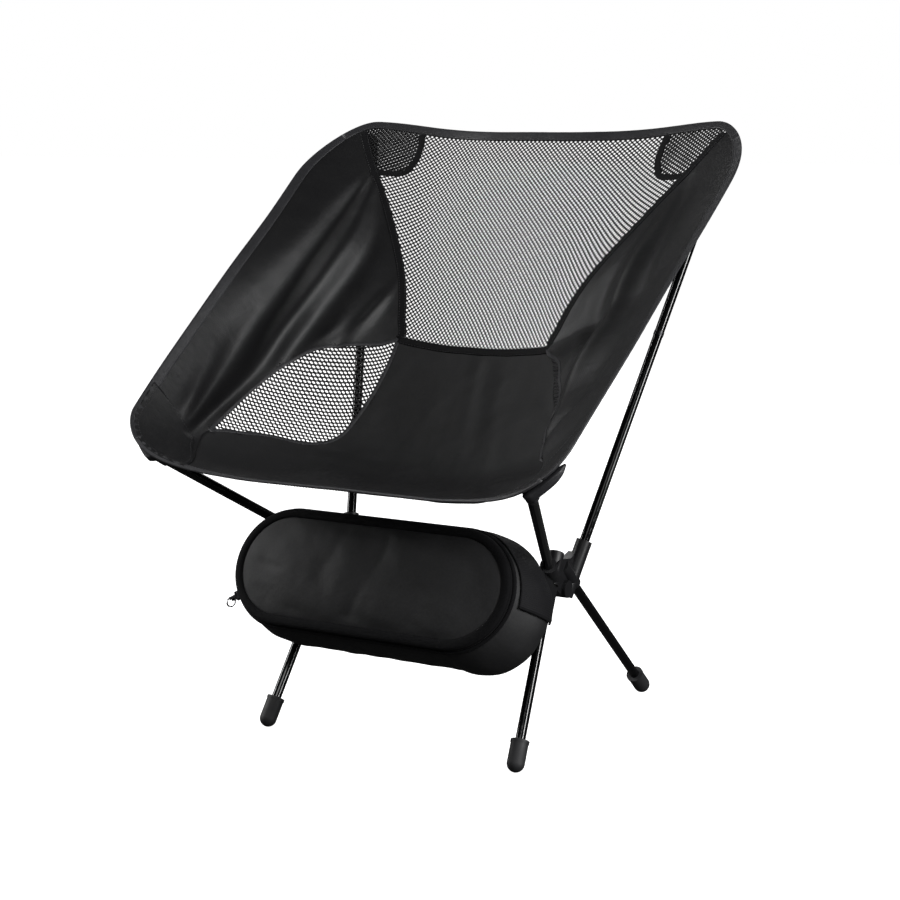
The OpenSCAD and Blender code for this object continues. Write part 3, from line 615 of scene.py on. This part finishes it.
def cloth_panel(name, v, u_from, u_to, count, material, off=0.0, thick=0.9):
    """A panel between two seams: at each v, count points from u_from to u_to."""
    t = np.linspace(0, 1, count)
    u = u_from[:, None] + (u_to - u_from)[:, None] * t
    w = np.repeat(v[:, None], count, 1)
    points = on_cloth(u, w, off)
    faces = grid_faces(len(v), count)
    if np.dot(np.cross(points[1, 1] - points[1, 0], points[2, 0] - points[1, 0]), seat_normal(u[1, 0], w[1, 0])) < 0:
        faces = faces[:, ::-1]
    return thicken(add_mesh(name, points, faces, cloth_uv(u, w), material), thick)


def cloth_band(name, path, width, height, material, off=0.0, pucker=0.0):
    """A band along an outline: path(mm) gives the line mm in from the edge, and a flat rounded section follows it."""
    profile = round_profile(width, height)
    lines = [path(a) for a, _ in profile]
    count = len(lines[0])
    wave = pucker * np.sin(np.arange(count) * 2.1)
    section = np.stack([on_cloth(line[:, 0], line[:, 1], off + h * (1 + wave))
                        for line, (_, h) in zip(lines, profile)], 1)
    along = np.concatenate([[0], np.cumsum(np.linalg.norm(np.diff(section[:, 0], axis=0), axis=1))])
    uv = np.stack(np.broadcast_arrays(along[:, None], profile[None, :, 0]), -1)
    points, faces = capped_tube(section)
    return add_mesh(name, points, faces, uv, material, closed=True)


def seam_band(name, u, v, width, height, material, off):
    """A binding whose middle runs along the seam through (u, v), with a flat rounded section across it."""
    middle = on_cloth(u, v)
    along = unit(np.gradient(middle, axis=0))
    up = seat_normal(u, v)
    side = unit(np.cross(along, up))
    profile = round_profile(width, height) - [width / 2, 0]
    section = middle[:, None] + side[:, None] * profile[None, :, :1] + up[:, None] * (profile[None, :, 1:] + off)
    run = np.concatenate([[0], np.cumsum(np.linalg.norm(np.diff(middle, axis=0), axis=1))])
    uv = np.stack(np.broadcast_arrays(run[:, None], profile[None, :, 0]), -1)
    points, faces = capped_tube(section)
    return add_mesh(name, points, faces, uv, material, closed=True)


def stitch_points(line, up, pitch=3.4, length=2.3, radius=0.32):
    """Points and faces of the stitches along a line: each is a spindle with four sides, lying along the line."""
    gone = np.concatenate([[0], np.cumsum(np.linalg.norm(np.diff(line, axis=0), axis=1))])
    at = np.arange(pitch, gone[-1] - pitch, pitch)
    middle = np.stack([np.interp(at, gone, line[:, k]) for k in range(3)], 1)
    normal = unit(np.stack([np.interp(at, gone, up[:, k]) for k in range(3)], 1))
    ahead = unit(np.stack([np.interp(at, gone, np.gradient(line[:, k], gone)) for k in range(3)], 1))
    side = np.cross(ahead, normal)
    ring = [(x, math.cos(t) * r, math.sin(t) * r) for x, r in ((-0.3, radius), (0.3, radius))
            for t in np.arange(4) * math.pi / 2]
    local = np.array([(-0.5, 0, 0)] + ring + [(0.5, 0, 0)]) * [length, 1, 1]
    points = middle[:, None] + sum(local[None, :, k:k + 1] * d[:, None] for k, d in enumerate((ahead, side, normal)))
    k = np.arange(4)
    n = (k + 1) % 4
    ends = np.concatenate([np.stack([np.zeros(4, int), 1 + n, 1 + k], 1), np.stack([np.full(4, 9), 5 + k, 5 + n], 1)])
    sides = np.stack([1 + k, 1 + n, 5 + n, 5 + k], 1)
    start = (np.arange(len(at)) * 10)[:, None, None]
    return points.reshape(-1, 3), (ends + start).reshape(-1, 3), (sides + start).reshape(-1, 4)


def add_stitching(name, lines, material):
    """All the stitches of several lines as one piece. Each line is (its points, the cloth's normals there)."""
    parts = [stitch_points(line, up) for line, up in lines]
    starts = np.cumsum([0] + [len(p[0]) for p in parts[:-1]])
    return add_mesh(name, np.concatenate([p[0] for p in parts]),
                    [np.concatenate([p[k] + s for p, s in zip(parts, starts)]) for k in (1, 2)],
                    material=material, closed=True)


# ---- Net ----

# Inner edge of the corner nets, as (v, u)
PATCH_EDGE = [(0.87, 0.735), (0.885, 0.64), (0.91, 0.6), (0.947, 0.588), (1, 0.61)]

PITCH = 3.8
HOLE_R = 1.3
YARN = 0.45


def add_net(name, inside, u_range, v_range, material, ruffle=0.0, off=0.0, hole=HOLE_R):
    """A knitted net: square cells at 45 degrees to the panel, each with an eight-sided hole.
    inside(u, v) says which cells the panel has. The yarn is thickest where four holes meet."""
    c = PITCH / math.sqrt(2)
    a0, a1 = np.array(u_range) * MIDDLE_U_MM / c
    b0, b1 = np.array(v_range) * V_MM / c
    p, q = np.meshgrid(np.arange(math.floor(a0), math.ceil(a1)), np.arange(math.floor(b0), math.ceil(b1)), indexing="ij")
    keep = ((p + q) % 2 == 0) & inside(p * c / MIDDLE_U_MM, q * c / V_MM)
    p, q = p[keep], q[keep]
    # corners lie one step of c along each axis from the cell's middle
    step = np.array([(1, 0), (0, 1), (-1, 0), (0, -1)])
    corner_keys = np.stack([p, q], 1)[:, None] + step
    keys, index = np.unique(corner_keys.reshape(-1, 2), axis=0, return_inverse=True)
    index = index.reshape(-1, 4)
    turn = np.radians(22.5 + 45 * np.arange(8))
    rims = np.stack([p, q], 1)[:, None] * c + hole * np.stack([np.cos(turn), np.sin(turn)], 1)
    rims = rims.reshape(-1, 2)

    def place(ab, above):
        wave = ruffle * ripple(ab[:, 0], ab[:, 1], 24, 11)
        return on_cloth(ab[:, 0] / MIDDLE_U_MM, ab[:, 1] / V_MM, off + above + wave)

    knots = keys * c
    points = np.concatenate([place(knots, YARN), place(knots, -YARN), place(rims, 0.0)])
    n, m = len(keys), len(p)
    rim = 2 * n + np.arange(m)[:, None] * 8 + np.arange(8)
    quads, tris = [], []
    for k in range(4):
        # the side between corners k and k + 1 faces the holes' points 2k and 2k + 1
        a, b = index[:, k], index[:, (k + 1) % 4]
        near, far, before = rim[:, 2 * k], rim[:, 2 * k + 1], rim[:, (2 * k - 1) % 8]
        quads += [np.stack([a, b, far, near], 1), np.stack([near, far, b + n, a + n], 1)]
        tris += [np.stack([a, near, before], 1), np.stack([before, near, a + n], 1)]
    return add_mesh(name, points, [np.concatenate(quads), np.concatenate(tris)], material=material, closed=True)


# ---- Make everything ----

def build_seat(m):
    """Panels, nets, hems, bindings, corner patches and stitching of the sling seat."""
    hem_w, hem_t = 12, 2.8
    tuck = 4
    made = {}
    low = FRONT_SHARE * tuck
    v = np.concatenate([np.linspace(low, REAR_V, 130)])
    base = cloth_panel("seat_base_cloth", v, -base_seam(v), base_seam(v), 150, m["oxford_base"])
    made["base"] = base
    v = np.linspace(low, TOP_V, 220)
    for side, s in SIDES.items():
        inner, outer = side_seam(v), np.maximum(edge_u(v, tuck), side_seam(v) + 0.002)
        made[side] = cloth_panel(f"{side}_side_cloth", v, s * inner, s * outer, 90, m["oxford"])
    margin = 0.008
    top = 1 - BACK_SHARE * tuck
    made["back_net"] = add_net(
        "back_net", lambda u, v: (v > REAR_V - 0.003) & (v < top) & (np.abs(u) < side_seam(v) + margin)
        & (np.abs(u) < edge_u(v, tuck)), (-1, 1), (REAR_V - 0.01, 1), m["net"], 0.25)
    for side, s in SIDES.items():
        made[side + "_net"] = add_net(
            f"{side}_lower_net", lambda u, v: (v > TIP_V) & (v < REAR_V) & (u * s > base_seam(v) - margin)
            & (u * s < side_seam(v) + margin), sorted((s * 0.4, s * 0.85)), (TIP_V, REAR_V), m["net"], 0.5)
    hems = {
        "front_hem_cloth": lambda mm: end_path(mm, False),
        "top_hem_cloth": lambda mm: end_path(mm, True),
        "left_edge_hem_cloth": lambda mm: side_path(mm, LEFT),
        "right_edge_hem_cloth": lambda mm: side_path(mm, RIGHT)}
    stitches = []
    for name, path in hems.items():
        # the front hem takes the lighter copy of the hem cloth, a painted highlight
        made[name] = cloth_band(name, path, hem_w, hem_t, m["front_hem" if name[0] == "f" else "hem"], pucker=0.05)
        line = path(hem_w - 2.2)
        stitches.append((on_cloth(line[:, 0], line[:, 1], hem_t / 2 * 0.98), seat_normal(line[:, 0], line[:, 1])))
        stitches.append((on_cloth(line[:, 0], line[:, 1], -hem_t / 2 * 0.98), -seat_normal(line[:, 0], line[:, 1])))
    tape_w, tape_t = 9, 1.5
    v = np.linspace(REAR_V, TOP_V, 110)
    for side, s in SIDES.items():
        u = s * side_seam(v)
        made[side + "_tape"] = seam_band(f"{side}_back_binding", u, v, tape_w, tape_t, m["tape"], 0.5)
        for shift in (-0.36, 0.36):
            stitches.append((on_cloth(u + shift * tape_w / MIDDLE_U_MM, v, 1.2), seat_normal(u, v)))
    u = np.linspace(-0.442, 0.442, 100)
    v = np.full_like(u, REAR_V)
    made["rear_tape"] = seam_band("rear_binding", u, v, tape_w, tape_t, m["tape"], 0.5)
    for shift in (-0.36, 0.36):
        stitches.append((on_cloth(u, v + shift * tape_w / V_MM, 1.2), seat_normal(u, v)))
    for side, s in SIDES.items():
        v = np.linspace(TIP_V, REAR_V, 80)
        made[side + "_upper_rib"] = seam_band(f"{side}_net_upper_seam", s * side_seam(v), v, 4, 1.6, m["hem"], 0.2)
        made[side + "_lower_rib"] = seam_band(f"{side}_net_lower_seam", s * base_seam(v), v, 4, 1.6, m["hem"], 0.2)
    # reinforcing patch on the front corners, over the panels
    v = np.linspace(low, 0.152, 40)
    inner = curve(v, [(0, 0.70), (0.049, 0.709), (0.1, 0.757), (0.133, 0.802), (0.146, 0.869), (0.152, 0.94)])
    for side, s in SIDES.items():
        outer = np.maximum(edge_u(v, tuck), inner + 0.002)
        made[side + "_patch"] = cloth_panel(f"front_{side}_corner_patch", v, s * inner, s * outer, 40, m["oxford"],
                                            off=1.0, thick=0.8)
        edge = curve(v, [(0, 0.712), (0.049, 0.721), (0.1, 0.769), (0.133, 0.815), (0.146, 0.88), (0.152, 0.95)])
        stitches.append((on_cloth(s * edge, v, 1.5), seat_normal(s * edge, v)))
    # a second layer of net in the top corners, which holds the pockets, and its binding
    v = np.linspace(0.87, TOP_V + 0.012, 50)
    inner = curve(v, PATCH_EDGE)
    for side, s in SIDES.items():
        made[side + "_back_patch"] = add_net(
            f"back_{side}_corner_net",
            lambda u, v: (v > 0.87) & (v < top) & (u * s > curve(v, PATCH_EDGE)) & (u * s < side_seam(v) + margin)
            & (u * s < edge_u(v, tuck)), sorted((s * 0.5, s)), (0.86, 1), m["net"], 0.4, off=-2.2, hole=1.12)
        made[side + "_patch_tape"] = seam_band(f"back_{side}_patch_binding", s * inner, v, 8, 1.5, m["tape"], 0.4)
    made["stitching"] = add_stitching("seat_stitching", stitches, m["thread"])
    return made


def add_pocket(name, joint, tip, length, material):
    """A cloth sleeve over a pole's tip, closed by a dome: its section is a little wider than tall and wavy."""
    axis = unit(tip - joint)
    flat = unit(np.cross(axis, [0, 0, 1]))
    up = np.cross(flat, axis)
    t = np.linspace(0, 1, 26)
    turn = np.arange(28) * 2 * math.pi / 28
    radius = 6.9 * np.sqrt(np.clip(1 - smooth_step(t, 0.8, 1.0) ** 2 * 0.97, 0.02, 1)) + 0.5 * (1 - t) ** 3
    along = -length + (length + 3.2) * t
    wave = 1 + 0.04 * np.sin(3 * turn[None] + 5 * t[:, None]) + 0.03 * np.sin(5 * turn[None] - 9 * t[:, None])
    section = (tip + axis * along[:, None])[:, None] + (radius[:, None] * wave)[..., None] * (
        flat * (np.cos(turn) * 1.15)[:, None] + up * np.sin(turn)[:, None])[None]
    points, faces = capped_tube(section)
    uv = np.stack(np.broadcast_arrays(along[:, None], (turn * 8)[None]), -1)
    return add_mesh(name, points, faces, uv, material, closed=True)


def add_front_pocket(name, s, material):
    """A front corner's pocket: from its mouth below the pole's tip, up over the tip, and out along the edge
    to a point. Its section is a puckered oval whose size follows that line."""
    joint, tip = front_joint(s), front_tip(s)
    axis = unit(tip - joint)
    v = np.array([0.026, 0.045, 0.068])
    under = on_cloth(s * edge_u(v, 13), v, -6) + np.array([[0, 0, -3], [0, 0, -2], [0, 0, -1]])
    knots = np.concatenate([[tip - axis * 14, tip - axis * 4, tip + axis * 3], under])
    at = np.linspace(0, 1, len(knots))
    t = np.linspace(0, 1, 44)
    line = np.stack([curve(t, np.stack([at, knots[:, k]], 1)) for k in range(3)], 1)
    size = curve(t, [(0, 6.4), (0.2, 7.0), (0.4, 7.4), (0.6, 6.8), (0.8, 5.4), (0.93, 3.6), (1, 1.2)])
    ahead = unit(np.gradient(line, axis=0))
    side = unit(np.cross(ahead, [0, 0, 1]))
    up = np.cross(side, ahead)
    turn = np.arange(30) * 2 * math.pi / 30
    wave = 1 + 0.06 * np.sin(3 * turn[None] + 7 * t[:, None]) + 0.05 * np.sin(7 * turn[None] - 16 * t[:, None])
    section = line[:, None] + (size[:, None] * wave)[..., None] * (
        side[:, None] * np.cos(turn)[None, :, None] + up[:, None] * np.sin(turn)[None, :, None] * 0.9)
    points, faces = capped_tube(section)
    uv = np.stack(np.broadcast_arrays(t[:, None] * 70, (turn * 8)[None]), -1)
    return add_mesh(name, points, faces, uv, material, closed=True)


# ---- Bag: x along it, y up its lid, z out of the lid ----

BAG_AT, BAG_TILT = np.array([-3, -149.64, 188]), 27
BAG_L, BAG_H, BAG_D, ZIP_H = 320, 124, 86, 5
END_X = (BAG_L - BAG_H) / 2
END_R = BAG_H / 2


def in_bag(p):
    """Bag coordinates to the chair's."""
    a = math.radians(90 - BAG_TILT)
    x, y, z = np.moveaxis(np.asarray(p, float), -1, 0)
    return np.stack([x, y * math.cos(a) - z * math.sin(a), y * math.sin(a) + z * math.cos(a)], -1) + BAG_AT


def stadium(t, radius):
    """The bag's outline at t from 0 to 1, anticlockwise from the foot of the +x end, and its outward direction."""
    arc, run = math.pi * END_R, 2 * END_X
    gone = (np.asarray(t) % 1) * 2 * (arc + run)
    turn = np.where(gone < arc, gone / END_R - math.pi / 2,
                    np.where(gone < arc + run, math.pi / 2,
                             np.where(gone < 2 * arc + run, (gone - arc - run) / END_R + math.pi / 2, 1.5 * math.pi)))
    x = np.where(gone < arc, END_X,
                 np.where(gone < arc + run, END_X - (gone - arc),
                          np.where(gone < 2 * arc + run, -END_X, gone - 2 * arc - run - END_X)))
    out = np.stack([np.cos(turn), np.sin(turn)], -1)
    return np.stack([x, np.zeros_like(x)], -1) + out * np.asarray(radius)[..., None], out


# Creases of the lid: points (x, y), height and half-width
LID_CREASES = [
    ([(9, 60), (17, 32), (3, -7), (-11, -45)], -2.2, 7),
    ([(-33, 60), (-39, 25), (-51, -7), (-39, -26)], -1.8, 8),
    ([(-158, 6), (-132, 1), (-100, -4)], -2.0, 5),
    ([(-158, -14), (-138, -18), (-112, -22)], 1.3, 6),
    ([(70, 48), (110, 30), (142, 5)], -1.8, 10),
    ([(30, -12), (70, -8), (112, -14)], -1.2, 8),
    ([(-14, 34), (-22, 5), (-30, -20)], 1.6, 9),
    ([(40, 30), (34, 0), (22, -30)], 1.5, 12),
    ([(-90, 40), (-70, 20), (-64, -10)], 1.0, 12),
]


def crease_height(x, y, creases):
    """Each crease is a bell curve of the distance to its broken line, fading to nothing at its ends."""
    total = np.zeros(np.shape(x))
    for knots, height, half in creases:
        k = np.array(knots, float)
        t = np.linspace(0, 1, 40)
        at = np.linspace(0, 1, len(k))
        line = np.stack([curve(t, np.stack([at, k[:, c]], 1)) for c in (0, 1)], 1)
        d = np.hypot(np.asarray(x)[..., None] - line[:, 0], np.asarray(y)[..., None] - line[:, 1])
        fade = np.sqrt(np.sin(math.pi * np.clip(t * 0.86 + 0.07, 0, 1)))
        total += height * (np.exp(-(d / half) ** 2) * fade).max(-1)
    return total


def gusset(t, depth, lift=0.0):
    """The bag's wall at t round the outline and at depth from 0, by the zip, to 1, by the back, lift mm outside it.
    It swells between its seams, most where a strap pulls at the left end. Returns its points and radius."""
    _, out = stadium(t, END_R * np.ones(t.shape))
    left_end = np.clip(out[..., 0], 0, 1) * (0.6 - 0.4 * out[..., 1])
    under = np.clip(-out[..., 1], 0, 1)
    middle = np.sin(math.pi * depth)
    grow = np.clip(middle, 0, 1) ** 0.8 * 5.0 * (1 + 0.5 * under)
    grow = grow + np.sin(math.pi * np.clip(depth * 1.1, 0, 1)) * 24 * left_end
    wrinkle = ripple(t * 830, depth * BAG_D, 34, 31) * middle * (0.9 - 0.5 * under)
    radius = (END_R - 0.6) * (1 - smooth_step(depth, 0.82, 1.0) * 0.12) + grow + wrinkle
    flat, _ = stadium(t, radius + lift)
    return np.concatenate([flat, (-ZIP_H - 1 - depth * BAG_D)[..., None]], -1), radius


def build_bag(m):
    """The bag's lid, piping, zip and body."""
    made = {}
    count = 260
    t = np.arange(count) / count
    rho = np.linspace(0, 1, 46) ** 0.85
    inner = END_R - 9.6
    rim, _ = stadium(t, inner * np.ones(count))
    x, y = rim[:, 0] * rho[:, None], rim[:, 1] * rho[:, None]
    puff = 8.5 * (1 - rho ** 3.2)[:, None]
    quiet = smooth_step(1 - rho, 0.0, 0.22)[:, None]
    z = 2.2 + puff + quiet * (crease_height(x, y, LID_CREASES) * 0.6 + 1.3 * ripple(x, y, 75, 21) + 0.12 * ripple(x, y, 22, 22))
    points = in_bag(np.stack([x, y, z], -1))
    made["lid"] = thicken(add_mesh("bag_lid_cloth", points, grid_faces(len(rho), count, wrap=True)[:, ::-1],
                                   np.stack([x, y], -1), m["oxford_bag"], weld=0.02), 0.9)
    turn = np.arange(12) * 2 * math.pi / 12

    def bead(name, radius, height, size, material, squash=1.0):
        """A round piping along the outline."""
        r = radius + size * np.cos(turn)
        line, _ = stadium(np.repeat(t[:, None], 12, 1), np.repeat(r[None], count, 0))
        p = np.concatenate([line, np.repeat((height + size * squash * np.sin(turn))[None, :, None], count, 0)], -1)
        uv = np.stack(np.broadcast_arrays((t * 830)[:, None], (turn * size)[None]), -1)
        faces = grid_faces(count + 1, 12, wrap=True) % (count * 12)
        return add_mesh(name, in_bag(p), faces, uv, material, closed=True)

    made["piping"] = bead("bag_lid_binding", END_R - 5.4, 1.6, 5.2, m["zip"], 0.5)
    made["zip"] = bead("bag_zip_coil", END_R - 1.9, -2.4, 1.8, m["zip"], 1.2)
    made["rim"] = bead("bag_body_piping", END_R + 0.4, -6.4, 2.4, m["zip"])
    # body: the gusset, then the back
    depth = np.linspace(0, 1, 34)
    wall, radius = gusset(np.repeat(t[None], len(depth), 0), np.repeat(depth[:, None], count, 1))
    inset = np.linspace(1, 0, 16)[1:]
    last = radius[-1]
    rim, _ = stadium(t, last)
    flat = rim[None] * inset[:, None, None]
    z = -ZIP_H - 1 - BAG_D - 3.0 * (1 - inset[:, None] ** 2) * np.ones(count) - ripple(flat[..., 0], flat[..., 1], 50, 41) * 0.8 * (1 - inset[:, None] ** 4)
    body = np.concatenate([wall, np.concatenate([flat, z[..., None]], -1)])
    uv = np.stack([np.repeat((t * 830)[None], len(body), 0),
                   np.concatenate([depth * BAG_D, BAG_D + (1 - inset) * END_R])[:, None] * np.ones(count)], -1)
    made["body"] = thicken(add_mesh("bag_body_cloth", in_bag(body), grid_faces(len(body), count, wrap=True), uv,
                                    m["oxford_bag"], weld=0.02), 1.0)
    return made


def add_strap_tab(name, material):
    """The strap's wide end, sewn flat on the bag's wall: a patch of the wall from near the zip to near the back,
    raised by its own thickness, with a folded lower edge."""
    t = np.linspace(0.115, 0.285, 44)
    t, depth = np.meshgrid(t, np.linspace(0.06, 0.8, 40), indexing="ij")
    edge = np.exp(-((t - 0.118) / 0.006) ** 2)
    pleat = 1.1 * np.sin(t * 95 + depth * 2.2) * np.sin(math.pi * depth)
    points, _ = gusset(t, depth, 2.2 + pleat + edge)
    uv = np.stack([t * 830, depth * BAG_D], -1)
    faces = grid_faces(*t.shape)
    return thicken(add_mesh(name, in_bag(points), faces, uv, material), 1.2)


def add_strap(name, s, material):
    """A strap of wide cloth: round the front leg below the hub, and up to the bag's end, where it is sewn on.
    Its section is two plies with a half round between them, and both plies rise towards the bag."""
    a = front_joint(s)
    down = unit(front_toe(s) - a)
    tilt = math.radians(BAG_TILT)
    out = np.array([0, -math.cos(tilt), math.sin(tilt)])
    ahead = unit(out - down * (out @ down))
    side = np.cross(down, ahead)
    r = TUBE_R + 2.4
    turn = np.radians(np.linspace(90, 270, 22))
    reach = np.linspace(46, 0, 18)[:-1]
    flat = np.concatenate([np.stack([reach, np.full(17, r)], 1), np.stack([np.cos(turn), np.sin(turn)], 1) * r,
                           np.stack([reach[::-1], np.full(17, -r)], 1)])
    w = np.linspace(0, 1, 20)
    climb = smooth_step(flat[:, 0], -4, 46)
    drop = 12 - 14 * climb[None] + w[:, None] * (34 + 8 * climb[None])
    bow = 1 + 0.16 * np.sin(w * 7)[:, None] * climb[None] + 0.22 * climb[None]
    points = (a + down * drop[..., None] + ahead * flat[None, :, :1] + side * (flat[None, :, 1] * bow)[..., None])
    uv = np.stack(np.broadcast_arrays(np.arange(len(flat))[None] * 3.0, w[:, None] * 34), -1)
    return thicken(add_mesh(name, points, grid_faces(len(w), len(flat)), uv, material), 1.4)


def dress_frame(m):
    """Gives the CAD parts that stay their finishes."""
    finishes = {
        "pole": m["pole"], "leg": m["pole"], "crossbar": m["pole"], "hub": m["hub"], "foot": m["rubber"],
        "tip": m["tip"], "cord": m["cord"], "ferrule": m["ferrule"], "rivets": m["rivet"],
        "slider": m["slider"], "pull": m["wire"]}
    for name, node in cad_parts.items():
        finish = finishes.get(name.split("_")[-1])
        if finish:
            for place in node.material_slots:
                place.material = finish


def main():
    add_camera()
    set_world()
    add_softbox("right_strip", 84, 22, 2.6, (0.3, 2.2), 70)
    add_softbox("left_strip", -76, 24, 2.6, (0.3, 2.2), 46)
    add_softbox("front_box", 20, 30, 3.0, (1.2, 1.0), 20)
    add_softbox("back_box", 200, 30, 3.0, (1.4, 1.4), 14)
    floor = add_mesh("floor", np.array([[-1, -1, 0], [1, -1, 0], [1, 1, 0], [-1, 1, 0]]) * FLOOR_SIZE / 2 / MM,
                     np.array([[0, 1, 2, 3]]), material=floor_paint())
    m = {
        "oxford": oxford_cloth("pu_coated_oxford", "#0e0e10", "#161617"),
        "oxford_base": oxford_cloth("pu_coated_oxford_worn", "#0f0f11", "#171718", sheen=0.0, rough=0.7),
        "oxford_bag": oxford_cloth("pu_coated_oxford_bag", "#131315", "#1b1b1c", sheen=0.0, rough=0.66),
        "hem": oxford_cloth("folded_oxford_hem", "#222224", "#303033"),
        # the front hem's lighter copy of the hem cloth is a painted highlight, where its top catches the light
        "front_hem": oxford_cloth("folded_oxford_front_hem_painted_highlight", "#343436", "#464648"),
        "tape": ribbed_tape("polyester_grosgrain", "#0a0a0c"),
        "zip": ribbed_tape("nylon_coil_zip", "#08080a", rib=1.5, rough=0.85),
        "strap": ribbed_tape("polyester_webbing", "#111113", rib=1.8),
        "thread": moulded("bonded_polyester_thread", "#2a2a2c", 0.55, 0.6, 0.1),
        "net": knitted_yarn("warp_knit_polyester_net", "#0e0e10"),
        "pole": anodised("black_anodised_aluminium", "#030304", 0.13, ior=1.5),
        "ferrule": anodised("satin_anodised_aluminium", "#3a3a3c", 0.34, metallic=1.0),
        "hub": moulded("glass_filled_nylon", "#131315", 0.42, 0.5, 0.06),
        "tip": moulded("acetal_tip", "#1e1e20", 0.4, 0.6, 0.04),
        "rubber": moulded("thermoplastic_rubber", "#232325", 0.62, 0.5, 0.1),
        "cord": moulded("braided_shock_cord", "#cfcfc8", 0.8, 0.8, 0.2),
        "rivet": anodised("blackened_steel", "#4a4a4d", 0.4, metallic=1.0),
        "slider": anodised("lacquered_zinc", "#3a3a3c", 0.35, metallic=1.0),
        "wire": anodised("nickel_plated_steel", "#c9c9cb", 0.18, metallic=1.0),
    }
    dress_frame(m)
    seat_pieces = build_seat(m)
    for place, joint, tip in (("front", front_joint, front_tip), ("back", rear_joint, back_tip)):
        for side, s in SIDES.items():
            name = f"{place}_{side}_pocket_cloth"
            piece = (add_front_pocket(name, s, m["hem"]) if place == "front"
                     else add_pocket(name, joint(s), tip(s), 50, m["hem"]))
            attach(piece, "chair")
            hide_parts(f"{place}_{side}_pocket")
    bag = build_bag(m)
    return seat_pieces, bag, m


seat_pieces, bag, m = main()
for key, piece in seat_pieces.items():
    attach(piece, "chair")
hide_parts("seat_base_panel")
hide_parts("back_mesh_panel")
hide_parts("rear_seam_tape")
for side in SIDES:
    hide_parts(f"{side}_side_panel")
    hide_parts(f"{side}_lower_mesh")
    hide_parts(f"{side}_back_seam_tape")
for name in ("front_hem", "top_hem", "left_edge_hem", "right_edge_hem"):
    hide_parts(name)
for key, body, nodes in (("lid", "lid", ["bag_lid"]), ("piping", "lid", ["bag_lid_piping"]),
                         ("zip", "chair", ["bag_zip_tape"]), ("rim", "chair", []), ("body", "chair", ["bag_body"])):
    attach(bag[key], body)
    if nodes:
        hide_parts(*nodes)
for side, s in SIDES.items():
    strap = add_strap(f"{side}_strap_cloth", s, m["strap"])
    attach(strap, "chair")
    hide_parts(f"{side}_bag_strap")
tab = add_strap_tab("left_strap_tab_cloth", m["strap"])
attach(tab, "chair")
